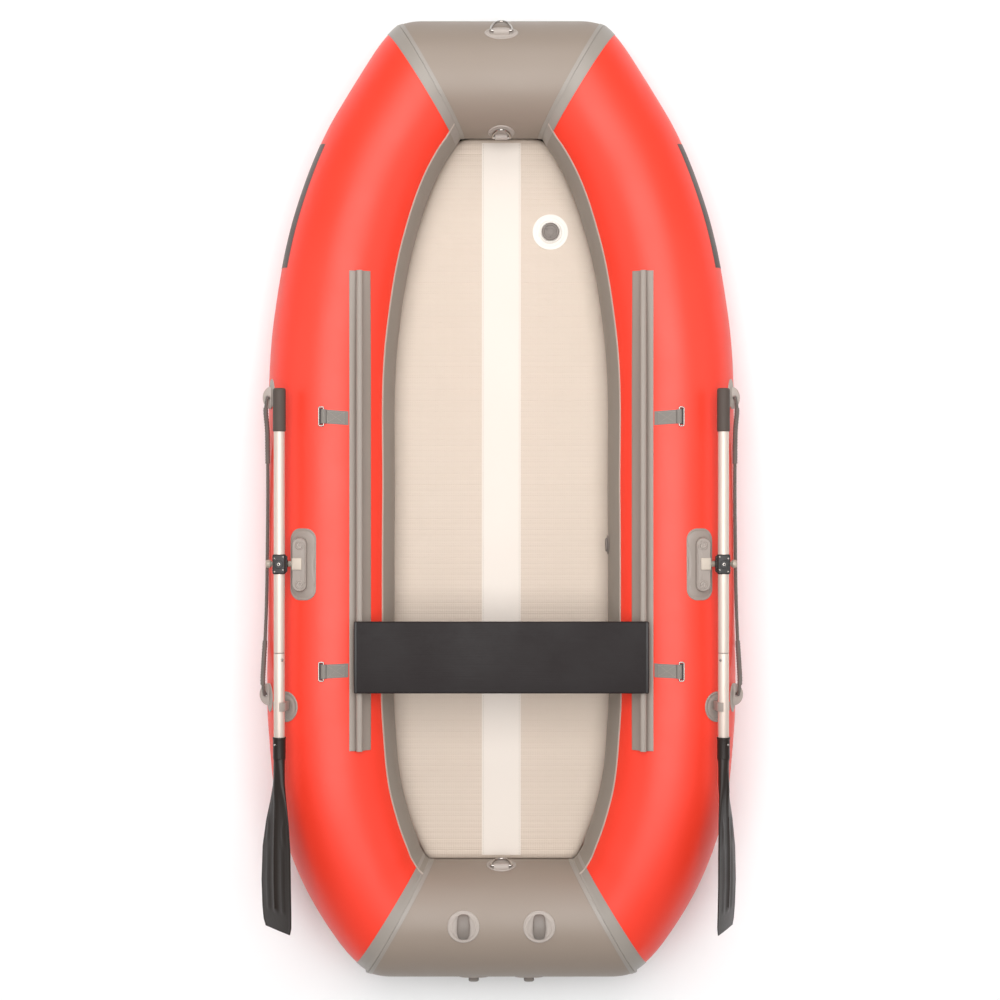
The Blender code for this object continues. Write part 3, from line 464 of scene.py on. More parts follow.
def lathe(name: str, profile: Sequence[Point2], matrix: Matrix, sides: int = 48,
          soft: float = 0.0008) -> bpy.types.Mesh:
    """A solid turned about the matrix's Z.

    Args:
        name: the mesh's name.
        profile: (radius, height) corners; it starts and ends on the axis, or else closes on itself.
        matrix: where it stands.
        sides: how many sides it has.
        soft: how far its corners are rounded.

    Returns:
        The mesh.
    """
    open_ends = profile[0][0] == 0 and profile[-1][0] == 0
    corners = rounded(profile, soft, 2, not open_ends)
    rings = []
    for radius, height in corners:
        rings.append([matrix @ Vector((radius * math.cos(t), radius * math.sin(t), height))
                      for t in even_turns(sides)])
    if open_ends:
        return loft(name, rings[1:-1] if len(rings) > 4 else rings)
    return hoop(name, rings, 38)


def tube(name: str, path: Sequence[Vector], radius: float, sides: int = 12,
         closed: bool = False) -> bpy.types.Mesh:
    """A round cord or wire along a path, with a UV map of (share round, metres along).

    Args:
        name: the mesh's name.
        path: points on its centreline.
        radius: its radius.
        sides: how many sides it has.
        closed: whether its end joins its start.

    Returns:
        The mesh.
    """
    points = [Vector(p) for p in path]
    count = len(points)
    side = None
    rings, run = [], [0.0]
    for i, point in enumerate(points):
        after = points[(i + 1) % count] if closed or i < count - 1 else point
        before = points[i - 1] if closed or i > 0 else point
        ahead = (after - before).normalized()
        if side is None:
            side = ahead.cross(Z_AXIS if abs(ahead.z) < 0.9 else X_AXIS)
        side = (side - ahead * side.dot(ahead)).normalized()
        up = ahead.cross(side)
        rings.append([point + side * (radius * math.cos(t)) + up * (radius * math.sin(t))
                      for t in even_turns(sides)])
        run.append(run[-1] + (after - point).length)
    mesh = hoop(name, rings) if closed else loft(name, rings, 60)
    layer = mesh.uv_layers.new(name="UVMap")
    total = count * sides
    for face in mesh.polygons:
        rows = [mesh.loops[i].vertex_index for i in face.loop_indices]
        columns = [r % sides for r in rows if r < total or closed]
        wide = max(columns) - min(columns) > 1
        for i, row in zip(face.loop_indices, rows, strict=True):
            k = row % sides + (sides if wide and row % sides == 0 else 0)
            layer.data[i].uv = (k / sides, run[min(row // sides, count - 1)])
    return mesh


def fitted(name: str, outline: Sequence[Point2], profile: Sequence[Point2], place: Place) -> bpy.types.Mesh:
    """A patch that follows a surface.

    Args:
        name: the mesh's name.
        outline: its edge as (round, along) from its centre.
        profile: (inset, height) from its bottom edge in to the middle of its top.
        place: turns (round, along, height) into a point.

    Returns:
        The mesh.
    """
    lengths = [math.hypot(u, v) for u, v in outline]
    rows: list[tuple[float, float, float]] = [(1.0, inset, height) for inset, height in profile]
    top = profile[-1]
    steps = 6
    rows += [(1 - k / steps, top[0], top[1]) for k in range(1, steps)]
    rings = []
    under = profile[0][1]
    for share, inset, height in [(k / 3, 0.0, under) for k in (1, 2)] + rows:
        ring = []
        for (u, v), size in zip(outline, lengths, strict=True):
            scale = share * (1 - inset / size)
            ring.append(place(u * scale, v * scale, height))
        rings.append(ring)
    count = len(outline)
    points = [p for ring in rings for p in ring]
    faces = ring_faces(len(rings), count)
    for first, height in ((0, under), (len(points) - count, top[1])):
        points.append(place(0, 0, height))
        faces += [(first + k, first + (k + 1) % count, len(points) - 1) for k in range(count)]
    return make_mesh(name, points, faces, 50)


def panel(name: str, us: Sequence[float], vs: Sequence[float], thickness: float, place: Place,
          sunk: float = 0.0006) -> bpy.types.Mesh:
    """A thin strip over a grid of (u, v), with its edges sunk into the surface it lies on."""
    wide, long = len(us), len(vs)
    points = [place(u, v, thickness) for v in vs for u in us] + [place(u, v, -sunk) for v in vs for u in us]
    under = wide * long
    faces = []
    for j in range(long - 1):
        for i in range(wide - 1):
            a = j * wide + i
            faces.append((a, a + 1, a + wide + 1, a + wide))
            faces.append((a + under, a + under + wide, a + under + wide + 1, a + under + 1))
    rim = [j * wide for j in range(long)] + [(long - 1) * wide + i for i in range(1, wide)]
    rim += [j * wide + wide - 1 for j in range(long - 2, -1, -1)] + list(range(wide - 2, 0, -1))
    for k, a in enumerate(rim):
        b = rim[(k + 1) % len(rim)]
        faces.append((a, b, b + under, a + under))
    return make_mesh(name, points, faces, 50)


def arc(radius_x: float, radius_y: float, start: float, end: float, count: int,
        centre: Point2 = (0, 0)) -> list[Point2]:
    """Points along an elliptical arc, with its angles in degrees."""
    turns = np.radians(np.linspace(start, end, count))
    return [(float(centre[0] + radius_x * math.cos(t)), float(centre[1] + radius_y * math.sin(t)))
            for t in turns]


def oval(half_u: float, half_v: float, radius: float, count: int = 10,
         longest: float = 0.012) -> list[Point2]:
    """A rounded rectangle with evenly divided edges."""
    outline: list[Point2] = []
    for u, v, start in ((1, 1, 0), (-1, 1, 90), (-1, -1, 180), (1, -1, 270)):
        centre = (u * (half_u - radius), v * (half_v - radius))
        outline += arc(radius, radius, start, start + 90, count, centre)
    points: list[Point2] = []
    for (u0, v0), (u1, v1) in zip(outline, outline[1:] + outline[:1], strict=True):
        pieces = max(1, math.ceil(math.hypot(u1 - u0, v1 - v0) / longest))
        points += [(u0 + (u1 - u0) * k / pieces, v0 + (v1 - v0) * k / pieces) for k in range(pieces)]
    return points


def circle(radius_u: float, radius_v: float, count: int = 48) -> list[Point2]:
    """An oval's edge."""
    return arc(radius_u, radius_v, 0, 360 * (1 - 1 / count), count)


def prism(name: str, outline: Sequence[Point2], low: float, high: float, matrix: Matrix,
          soft: float = 0.001) -> bpy.types.Mesh:
    """A plate of an outline in the matrix's XY plane, from low to high along its Z, with softened rims."""
    mesh = bpy.data.meshes.new(name)
    solid = bmesh.new()
    base = [solid.verts.new((x, y, low)) for x, y in outline]
    face = solid.faces.new(base)
    made = bmesh.ops.extrude_face_region(solid, geom=[face])
    rise = [v for v in made["geom"] if isinstance(v, bmesh.types.BMVert)]
    bmesh.ops.translate(solid, verts=rise, vec=(0, 0, high - low))
    bmesh.ops.recalc_face_normals(solid, faces=solid.faces)
    if soft > 0:
        flat = [e for e in solid.edges if abs(e.verts[0].co.z - e.verts[1].co.z) < 1e-7]
        bmesh.ops.bevel(solid, geom=flat, offset=soft, segments=3, profile=0.5, affect="EDGES",
                        clamp_overlap=True)
    bmesh.ops.transform(solid, matrix=matrix, verts=solid.verts)
    solid.to_mesh(mesh)
    solid.free()
    return tidy(mesh, 40)


def box(name: str, low: Sequence[float], high: Sequence[float], soft: float = 0.001,
        segments: int = 3) -> bpy.types.Mesh:
    """A box between two corners with rounded edges."""
    low, high = Vector(low), Vector(high)
    mesh = bpy.data.meshes.new(name)
    solid = bmesh.new()
    bmesh.ops.create_cube(solid, size=1)
    bmesh.ops.scale(solid, vec=high - low, verts=solid.verts)
    bmesh.ops.translate(solid, vec=(low + high) / 2, verts=solid.verts)
    bmesh.ops.bevel(solid, geom=list(solid.edges), offset=soft, segments=segments, profile=0.5,
                    affect="EDGES")
    solid.to_mesh(mesh)
    solid.free()
    return tidy(mesh, 40)


def piece(name: str, mesh: bpy.types.Mesh, finish: Finish, body: str = "hull",
          nodes: Sequence[str] = ()) -> bpy.types.Object:
    """Puts a finished mesh on the boat.

    Args:
        name: the piece's name.
        mesh: its mesh, in place.
        finish: its finish.
        body: the body it moves with.
        nodes: the plain parts that it stands for.

    Returns:
        The object.
    """
    obj = bpy.data.objects.new(name, mesh)
    bpy.context.scene.collection.objects.link(obj)
    mesh.materials.clear()
    mesh.materials.append(finish.material())
    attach(obj, body)
    if nodes:
        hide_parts(*nodes)
    LOG.info("%s: %d faces on %s", name, len(mesh.polygons), body)
    return obj


def row_tree() -> bpy.types.NodeTree:
    """Copies of one unit at even steps along a curve, turned to follow it."""
    found = bpy.data.node_groups.get("row of units")
    if found:
        return found
    tree = bpy.data.node_groups.new("row of units", "GeometryNodeTree")
    sockets = (("Path", "INPUT", "NodeSocketGeometry"), ("Unit", "INPUT", "NodeSocketObject"),
               ("Step", "INPUT", "NodeSocketFloat"), ("Size", "INPUT", "NodeSocketFloat"),
               ("Finish", "INPUT", "NodeSocketMaterial"), ("Row", "OUTPUT", "NodeSocketGeometry"))
    for title, way, kind in sockets:
        tree.interface.new_socket(title, in_out=way, socket_type=kind)
    graph = Graph(tree)
    start, end = graph.add("NodeGroupInput"), graph.add("NodeGroupOutput")
    even = graph.add("GeometryNodeResampleCurve", {"Curve": start.outputs["Path"],
                                                   "Length": start.outputs["Step"]}, mode="LENGTH")
    unit = graph.add("GeometryNodeObjectInfo", {"Object": start.outputs["Unit"]})
    ahead = graph.add("GeometryNodeInputTangent")
    turn = graph.add("FunctionNodeAlignRotationToVector", {"Vector": ahead.outputs[0]}, axis="X")
    spots = graph.add("GeometryNodeInstanceOnPoints", {"Points": even.outputs[0],
                                                       "Instance": unit.outputs["Geometry"],
                                                       "Rotation": turn.outputs[0],
                                                       "Scale": start.outputs["Size"]})
    real = graph.add("GeometryNodeRealizeInstances", {0: spots.outputs[0]})
    painted = graph.add("GeometryNodeSetMaterial", {"Geometry": real.outputs[0],
                                                    "Material": start.outputs["Finish"]})
    tree.links.new(painted.outputs[0], end.inputs[0])
    return tree


def row_of(name: str, paths: Sequence[Sequence[Vector]], unit: bpy.types.Mesh, step: float, finish: Finish,
           size: float = 1.0) -> bpy.types.Mesh:
    """Bakes copies of a unit along paths into one plain mesh.

    Args:
        name: the mesh's name.
        paths: the lines to follow.
        unit: one copy, with its X along the line.
        step: how far apart the copies are.
        finish: their finish.
        size: how large they are, against the unit.

    Returns:
        The mesh.
    """
    curve = bpy.data.curves.new(f"{name} path", "CURVE")
    curve.dimensions = "3D"
    for path in paths:
        spline = curve.splines.new("POLY")
        spline.points.add(len(path) - 1)
        for point, spot in zip(spline.points, path, strict=True):
            point.co = (*spot, 1)
    guide = bpy.data.objects.new(f"{name} path", curve)
    model = bpy.data.objects.new(f"{name} unit", unit)
    for obj in (guide, model):
        bpy.context.scene.collection.objects.link(obj)
    modifier = guide.modifiers.new("row", "NODES")
    modifier.node_group = row_tree()
    values = {"Unit": model, "Step": step, "Size": size, "Finish": finish.material()}
    for item in modifier.node_group.interface.items_tree:
        if item.item_type == "SOCKET" and item.in_out == "INPUT" and item.name in values:
            modifier[item.identifier] = values[item.name]
    bpy.context.view_layer.update()
    made = bpy.data.meshes.new_from_object(guide.evaluated_get(bpy.context.evaluated_depsgraph_get()))
    for obj in (guide, model):
        bpy.data.objects.remove(obj, do_unlink=True)
    made.name = name
    made.shade_smooth()
    made.set_sharp_from_angle(angle=math.radians(50))
    return made


def stitch_unit(long: float, radius: float) -> bpy.types.Mesh:
    """One stitch: a short thread that dips at both ends."""
    path = [Vector((long * (k / 4 - 0.5), 0, -radius * 1.2 * abs(k / 2 - 1) ** 2)) for k in range(5)]
    return tube("stitch", path, radius, 5)


# ---------------------------------------------------------------- the hull's surfaces


@dataclass(frozen=True)
class HullLines:
    """The lines of the four tubes."""

    stations: tuple[tuple[float, float, float], ...] = (
        (1.152, 0.201, 0.157),
        (0.942, 0.328, 0.1615),
        (0.754, 0.397, 0.1665),
        (0.481, 0.449, 0.170),
        (0.008, 0.4615, 0.1705),
        (-0.292, 0.463, 0.171),
        (-0.612, 0.4615, 0.1715),
        (-0.845, 0.430, 0.1705),
        (-1.049, 0.345, 0.1625),
        (-1.135, 0.285, 0.157),
    )
    mitre: float = math.radians(29.5)
    turning: float = 0.16
    rounding: float = 0.065
    drawn_in: float = 0.085

    def side(self, y: float) -> tuple[float, float, float]:
        """The starboard tube's centre line at y: x, radius and slope."""
        table = np.array(self.stations)[::-1]
        ys, values = table[:, 0], table[:, 1:]
        slopes = np.gradient(values, ys, axis=0)
        i = int(np.clip(np.searchsorted(ys, y) - 1, 0, len(ys) - 2))
        span = ys[i + 1] - ys[i]
        t = (y - ys[i]) / span
        weights = (2 * t**3 - 3 * t**2 + 1, t**3 - 2 * t**2 + t, 3 * t**2 - 2 * t**3, t**3 - t**2)
        here = weights[0] * values[i] + weights[1] * span * slopes[i]
        x, radius = here + weights[2] * values[i + 1] + weights[3] * span * slopes[i + 1]
        return float(x), float(radius), float((1 - t) * slopes[i][0] + t * slopes[i + 1][0])

    def on_side(self, side: int, y: float, angle: float, height: float = 0.0) -> Vector:
        """The point on a side tube at this angle from its top towards outboard."""
        x, radius, slope = self.side(y)
        outward = Vector((1, -slope, 0)).normalized()
        centre = Vector((x, y, radius))
        weight = self.nearness(y)
        half = radius + height
        if weight > 0:
            cut = Vector((math.sin(self.mitre), math.copysign(math.cos(self.mitre), y), 0))
            outward, plain = (outward * (1 - weight) + cut * weight).normalized(), outward
            half = (radius + height) / max(outward.dot(plain), math.cos(self.mitre))
            if weight > 0.999:
                half = (radius + height) / math.cos(self.mitre)
        half *= self.pull(min(self.stations[0][0] - y, y - self.stations[-1][0]), angle)
        point = centre + outward * (half * math.sin(angle)) + Z_AXIS * ((radius + height) * math.cos(angle))
        return Vector((side * point.x, point.y, point.z))

    def around(self, side: int) -> Place:
        """A placer on a side tube, from its angle, y and height."""
        return lambda angle, y, height: self.on_side(side, y, angle, height)

    def near(self, side: int, y: float, middle: float) -> Place:
        """A placer on a side tube, from how far round, along and off it from the point at y and middle."""
        radius = self.side(y)[1]
        return lambda u, v, height: self.on_side(side, y + v, middle + u / radius, height)

    def pull(self, gap: float, angle: float) -> float:
        """How far a tube's outside is drawn in near a mitre, this far from it along the tube."""
        t = min(max(1 - gap / self.rounding, 0), 1)
        return 1 - self.drawn_in * t**2 * max(math.sin(angle), 0) ** 2

    def nearness(self, y: float) -> float:
        """How close y is to a mitre: 1 at it, and 0 further away than the tube's turning."""
        gap = min(self.stations[0][0] - y, y - self.stations[-1][0])
        t = min(max(1 - gap / self.turning, 0), 1)
        return t * t * (3 - 2 * t)

    def side_frame(self, side: int, y: float, angle: float, height: float) -> Matrix:
        """A frame on a side tube: Y runs round it to outboard and Z stands off it."""
        extend = Vector((side * math.cos(angle), 0, -math.sin(angle)))
        normal = Vector((side * math.sin(angle), 0, math.cos(angle)))
        return frame_of(self.on_side(side, y, angle, height), extend, normal)

    def end(self, end: int) -> tuple[float, float, float]:
        """The y, the mitre's x and the radius of the bow tube at end 1, or of the stern tube at end -1."""
        y, x, radius = self.stations[0 if end > 0 else -1]
        return y, x, radius

    def on_end(self, end: int, x: float, angle: float, height: float = 0.0) -> Vector:
        """The point on an end tube at this angle from its top towards the outside of the boat."""
        y, _, radius = self.end(end)
        reach = radius + height
        round_to = reach * self.pull(self.mitre_x(end, angle) - abs(x), angle)
        return Vector((x, y + end * round_to * math.sin(angle), radius + reach * math.cos(angle)))

    def end_frame(self, end: int, x: float, angle: float, height: float) -> Matrix:
        """A frame on an end tube: Y runs round it to the outside and Z stands off it."""
        extend = Vector((0, end * math.cos(angle), -math.sin(angle)))
        normal = Vector((0, end * math.sin(angle), math.cos(angle)))
        return frame_of(self.on_end(end, x, angle, height), extend, normal)

    def mitre_x(self, end: int, angle: float) -> float:
        """How far from the middle an end tube's mitre is at this angle round it."""
        _, x, radius = self.end(end)
        return x + self.pull(0, angle) * radius * math.tan(self.mitre) * math.sin(angle)


def frame_of(origin: Vector, extend: Vector, normal: Vector) -> Matrix:
    """A matrix at origin whose Y is extend and whose Z is normal."""
    y, z = extend.normalized(), normal.normalized()
    return Matrix.Translation(origin) @ Matrix((y.cross(z), y, z)).transposed().to_4x4()


LINES = HullLines()
SEAM_GAP = 0.0003
SUNK = 0.0006


# ---------------------------------------------------------------- hull


@dataclass
class Hull:
    """The four tubes with their tapes, and the floor."""

    rings: int = 180
    sides: int = 72
    tape_top: float = math.radians(-57.5)
    tape_foot: float = math.radians(-113)
    floor_top: float = 0.100
    floor_foot: float = 0.0125
    floor_middle: float = 0.008
    floor_gap: float = 0.0006
    strip_half: float = 0.0535
    tape_rise: float = 0.0013
    decal_ends: tuple[float, float] = (0.905, 0.600)

    def build(self) -> None:
        """Builds every piece of the hull."""
        for name, side in SIDES.items():
            self.side_tube(name, side)
            self.side_tape(name, side)
            self.decal(name, side)
        for name, end in (("bow", 1), ("stern", -1)):
            self.end_tube(name, end)
        self.floor()

    def side_tube(self, name: str, side: int) -> None:
        """One red tube, with a soft swell where it meets the mitres."""
        first, last = LINES.stations[0][0] - SEAM_GAP, LINES.stations[-1][0] + SEAM_GAP
        rings = []
        for t in np.linspace(0, math.pi, self.rings):
            y = first + (last - first) * (0.5 - 0.5 * math.cos(t))
            rings.append([LINES.on_side(side, y, turn) for turn in even_turns(self.sides)])
        piece(f"tube_{name}_skin", loft(f"tube_{name}_skin", rings), RED, nodes=[f"tube_{name}"])

    def end_tube(self, name: str, end: int) -> None:
        """The grey tube across one end, and the tapes over its two mitres."""
        turns = even_turns(self.sides)
        rings = []
        for share in np.sin(np.linspace(-math.pi / 2, math.pi / 2, 61)):
            rings.append([LINES.on_end(end, share * (LINES.mitre_x(end, t) - SEAM_GAP), t) for t in turns])
        piece(f"{name}_tube_skin", loft(f"{name}_tube_skin", rings), GREY, nodes=[f"{name}_tube"])
        tapes = []
        around = np.linspace(math.radians(-122), math.radians(165), 90)
        for side in SIDES.values():
            def on_end_half(u: float, v: float, height: float, side: int = side) -> Vector:
                return LINES.on_end(end, side * (LINES.mitre_x(end, v) - SEAM_GAP - u), v, height)

            def on_side_half(u: float, v: float, height: float, side: int = side) -> Vector:
                return LINES.on_side(side, LINES.end(end)[0] - end * (u + SEAM_GAP), v, height)

            tapes.append(panel("tape", [0, 0.002, 0.006, 0.0105, 0.0115], around,
                               self.tape_rise, on_end_half))
            tapes.append(panel("tape", [0, 0.002, 0.006, 0.012, 0.018, 0.023, 0.027, 0.028], around,
                               self.tape_rise, on_side_half))
        piece(f"{name}_corner_tapes", joined("tapes", tapes), CORNER)

    def side_tape(self, name: str, side: int) -> None:
        """The grey band along a side tube's inner wall, with its pale upper edge."""
        on_band = LINES.around(side)
        ys = np.linspace(LINES.stations[0][0] - 0.001, LINES.stations[-1][0] + 0.001, 130)
        angles = np.linspace(self.tape_top, self.tape_foot, 14)
        piece(f"inner_band_{name}", panel("band", angles, ys, 0.0009, on_band), TAPE)
        lip = [self.tape_top + math.radians(a) for a in (-0.9, -0.5, 0.3, 0.7)]
        piece(f"inner_band_edge_{name}", panel("lip", lip, ys, 0.0016, on_band), EDGE)

    def decal(self, name: str, side: int) -> None:
        """A plain dark patch on the outer bow quarter."""
        angles = np.linspace(math.radians(60), math.radians(96), 10)
        piece(f"bow_patch_{name}", panel("patch", angles, np.linspace(*self.decal_ends, 24), 0.0005,
                                         LINES.around(side)), INK)

    def floor_half(self, height: float, corner: float) -> list[Point2]:
        """The floor's edge on the starboard side, from the bow's middle to the stern's.

        Args:
            height: where the edge is measured.
            corner: how far its corners are rounded.

        Returns:
            (x, y) points.
        """
        bow_y, _, bow_r = LINES.end(1)
        stern_y, _, stern_r = LINES.end(-1)
        bow = bow_y - math.sqrt(bow_r**2 - (height - bow_r) ** 2) - self.floor_gap
        stern = stern_y + math.sqrt(stern_r**2 - (height - stern_r) ** 2) + self.floor_gap
        edge = []
        for y in np.linspace(bow, stern, 120):
            x, radius, slope = LINES.side(y)
            reach = (math.sqrt(radius**2 - (height - radius) ** 2) + self.floor_gap) * math.hypot(1, slope)
            edge.append((x - reach, float(y)))
        middle = len(edge) // 2
        fore = rounded([(0, bow), (edge[0][0], bow), *edge[5:middle:4], edge[middle]], corner, 6, False)
        aft = rounded([edge[middle], *edge[middle + 4:-3:4], (edge[-1][0], stern), (0, stern)],
                      corner * 0.3, 6, False)
        return fore + aft[1:]

    def floor(self) -> None:
        """The puffed floor, and the pale strip down its middle."""
        outline = self.floor_half(self.floor_top, 0.055)
        ring = outline + [(-x, y) for x, y in reversed(outline[1:-1])]
        table = ((0.010, self.floor_foot), (0.0, self.floor_foot + 0.012), (0.0, self.floor_top - 0.016),
                 (0.0012, self.floor_top - 0.009), (0.0045, self.floor_top - 0.0035),
                 (0.010, self.floor_top - 0.0008), (0.018, self.floor_top))
        centre = Vector((0, self.floor_middle))
        rings = []
        for inset, height in table:
            rings.append([self.inset(p, centre, inset, height) for p in ring])
        for share in (0.85, 0.65, 0.4, 0.15):
            rings.append([Vector((v.x * share, self.floor_middle + (v.y - self.floor_middle) * share,
                                  self.floor_top)) for v in rings[6]])
        piece("floor_skin", loft("floor_skin", rings, 60), FLOOR, nodes=["air_floor"])
        ys = [p[1] for p in outline]

        def on_strip(u: float, v: float, height: float) -> Vector:
            return Vector((u, v, self.floor_top + height))

        across = [-self.strip_half, -self.strip_half + 0.0008, 0, self.strip_half - 0.0008, self.strip_half]
        along = np.linspace(max(ys) - 0.014, min(ys) + 0.014, 60)
        piece("floor_strip", panel("floor_strip", across, along, 0.0008, on_strip), STRIP)
        seams = [[Vector((s * (self.strip_half - 0.004), y, self.floor_top + 0.0009))
                  for y in (max(ys) - 0.02, min(ys) + 0.02)] for s in (-1, 1)]
        unit = stitch_unit(0.0050, 0.0005)
        piece("strip_stitches", row_of("strip_stitches", seams, unit, 0.0080, THREAD), THREAD)

    def inset(self, point: Point2, centre: Vector, inset: float, height: float) -> Vector:
        """A point of the floor's edge moved in towards the middle."""
        x, y = point
        toward_x = math.copysign(min(inset, abs(x)), x)
        toward_y = inset * max(min((y - centre.y) / 0.9, 1), -1)
        return Vector((x - toward_x, y - toward_y, height))


# ---------------------------------------------------------------- seat


@dataclass
class Seat:
    """The bench, its sliders and its rails."""

    rail_x: float = 0.3745
    rail_half: float = 0.0275
    rail_ends: tuple[float, float] = (0.612, -0.658)
    bead: tuple[float, float] = (0.3405, 0.3485)
    bead_half: float = 0.0090
    neck_half: float = 0.0040
    size: tuple[float, float, float] = (0.776, 0.189, 0.015)
    centre_y: float = -0.4085
    under: float = 0.3528
    slider: tuple[float, float] = (0.150, 0.0150)
    slider_foot: float = 0.3370
    slider_lip: float = 0.3397
    slider_roof: float = 0.3495

    def build(self) -> None:
        """Builds the bench and what carries it."""
        self.board()
        for name, side in SIDES.items():
            self.rail(name, side)
            self.carrier(name, side)

    def board(self) -> None:
        """The board, with rounded long edges and a cap at each end."""
        half_x, half_y = self.size[0] / 2, self.size[1] / 2
        top = self.under + self.size[2]
        low = (-half_x + 0.004, self.centre_y - half_y, self.under)
        high = (half_x - 0.004, self.centre_y + half_y, top)
        piece("bench", box("bench", low, high, 0.0045, 4), BOARD, "seat", ["seat_board"])
        caps = []
        for side in SIDES.values():
            xs = sorted((side * (half_x - 0.010), side * half_x))
            caps.append(box("cap", (xs[0], self.centre_y - half_y - 0.0004, self.under - 0.0002),
                            (xs[1], self.centre_y + half_y + 0.0004, top + 0.0006), 0.0035, 3))
        piece("bench_caps", joined("bench_caps", caps), BLACK, "seat")

    def surface(self, y: float, offset: float, height: float) -> float:
        """The tube's height under the rail, this far outboard of the rail's middle."""
        x, radius, slope = LINES.side(y)
        across = (self.rail_x + offset - x) / math.hypot(1, slope)
        return radius + math.sqrt((radius + height) ** 2 - across**2)

    def section(self, y: float) -> list[Point2]:
        """The rail's section at y."""
        half, neck = self.rail_half, self.neck_half
        low, high = self.bead
        offsets = np.linspace(-half, half, 9)
        foot = [(float(o), self.surface(y, float(o), -0.0004)) for o in offsets]
        shoulder = self.surface(y, neck, 0.0034)
        head = arc(self.bead_half - neck * 0.2, (high - low) / 2, -60, 90, 9, (0, (low + high) / 2))
        right = [(half, self.surface(y, half, 0.0014)), (half - 0.002, self.surface(y, half - 0.002, 0.0026)),
                 (half * 0.55, self.surface(y, half * 0.55, 0.0028)), (neck + 0.003, shoulder),
                 (neck, shoulder + 0.0025), (neck, low + 0.0004), *head]
        left = [(-o, z) for o, z in reversed(right[3:-1])]
        left += [(-half * 0.55, self.surface(y, -half * 0.55, 0.0028)),
                 (-half + 0.002, self.surface(y, -half + 0.002, 0.0026)),
                 (-half, self.surface(y, -half, 0.0014))]
        return foot + right + left

    def rail(self, name: str, side: int) -> None:
        """One moulded rail on its tube, with a stop at each end."""
        rings = [[Vector((side * (self.rail_x + o), y, z)) for o, z in self.section(y)]
                 for y in np.linspace(*self.rail_ends, 90)]
        piece(f"rail_{name}", loft(f"rail_{name}", rings, 50), RAIL, nodes=[f"seat_rail_{name}"])

    def carrier(self, name: str, side: int) -> None:
        """The channel under the bench's end that wraps the rail's bead."""
        long, half = self.slider
        top = self.under - 0.0003
        inner, mouth = self.bead_half + 0.0012, self.neck_half + 0.0020
        foot, lip = self.slider_foot, self.slider_lip
        right = [(half, top), (half, foot), (mouth, foot), (mouth, lip), (inner, lip),
                 (inner, self.slider_roof)]
        outline = rounded(right + [(-x, z) for x, z in reversed(right)], 0.0012, 2)
        rings = []
        for y in (self.centre_y - long / 2, self.centre_y + long / 2):
            rings.append([Vector((side * self.rail_x + x, y, z)) for x, z in outline])
        count = len(outline)
        faces = ring_faces(2, count) + [tuple(range(count)), tuple(range(count, 2 * count))]
        mesh = make_mesh(f"slider_{name}", [p for ring in rings for p in ring], faces)
        piece(f"slider_{name}", mesh, BLACK, "seat", [f"seat_slider_{name}"])


# ---------------------------------------------------------------- what the fittings share


def spread(outline: Sequence[Point2], centre: Point2, count: int) -> list[Point2]:
    """Where rays at even angles from the centre leave the outline."""
    made = []
    for k in range(count):
        turn = math.tau * k / count
        ray = Vector((math.cos(turn), math.sin(turn)))
        reach = 0.0
        for start, stop in zip(outline, [*outline[1:], outline[0]], strict=True):
            a, b = Vector(start) - Vector(centre), Vector(stop) - Vector(centre)
            edge = b - a
            across = ray.x * edge.y - ray.y * edge.x
            if abs(across) < 1e-12:
                continue
            far = (a.x * edge.y - a.y * edge.x) / across
            share = (a.x * ray.y - a.y * ray.x) / across
            if far > 0 and -1e-9 <= share <= 1 + 1e-9:
                reach = max(reach, far)
        made.append((centre[0] + ray.x * reach, centre[1] + ray.y * reach))
    return made


def pierced(name: str, outline: Sequence[Point2], centre: Point2, hole: float, low: float, high: float,
            matrix: Matrix,
            soft: float = 0.0015) -> bpy.types.Mesh:
    """A plate with a round hole and softened rims.

    Args:
        name: the mesh's name.
        outline: its edge in the matrix's XY plane.
        centre: the hole's centre.
        hole: the hole's radius.
        low: its underside along the matrix's Z.
        high: its top.
        matrix: where it lies.
        soft: how far its rims are rounded.

    Returns:
        The mesh.
    """
    edge = spread(outline, centre, 64)
    table = []
    for lift, inset in ((low, soft), (low + soft * 0.3, soft * 0.3), (low + soft, 0), (high - soft, 0),
                        (high - soft * 0.3, soft * 0.3), (high, soft)):
        table.append((lift, inset, False))
    for lift, inset in ((high, -soft), (high - soft, 0), (low + soft, 0), (low, -soft)):
        table.append((lift, inset, True))
    rings = []
    for lift, inset, inner in table:
        ring = []
        for k, (x, y) in enumerate(edge):
            turn = math.tau * k / len(edge)
            far = hole - inset if inner else math.hypot(x - centre[0], y - centre[1]) - inset
            ring.append(matrix @ Vector((centre[0] + far * math.cos(turn),
                                         centre[1] + far * math.sin(turn), lift)))
        rings.append(ring)
    return hoop(name, rings, 50)


def smooth_path(corners: Sequence[Sequence[float]], spacing: float) -> list[Vector]:
    """Points at even spacing on a smooth curve through the corners."""
    spots = [Vector(c) for c in corners]
    spots = [spots[0] * 2 - spots[1], *spots, spots[-1] * 2 - spots[-2]]
    dense = []
    for a, b, c, d in zip(spots, spots[1:], spots[2:], spots[3:], strict=False):
        for k in range(24):
            t = k / 24
            bend, twist = a * 2 - b * 5 + c * 4 - d, b * 3 - a - c * 3 + d
            dense.append((b * 2 + (c - a) * t + bend * t**2 + twist * t**3) / 2)
    dense.append(spots[-2])
    table = np.array([tuple(p) for p in dense])
    run = np.concatenate([[0], np.cumsum(np.linalg.norm(np.diff(table, axis=0), axis=1))])
    even = np.linspace(0, run[-1], int(run[-1] / spacing) + 1)
    return [Vector([float(np.interp(at, run, table[:, k])) for k in range(3)]) for at in even]


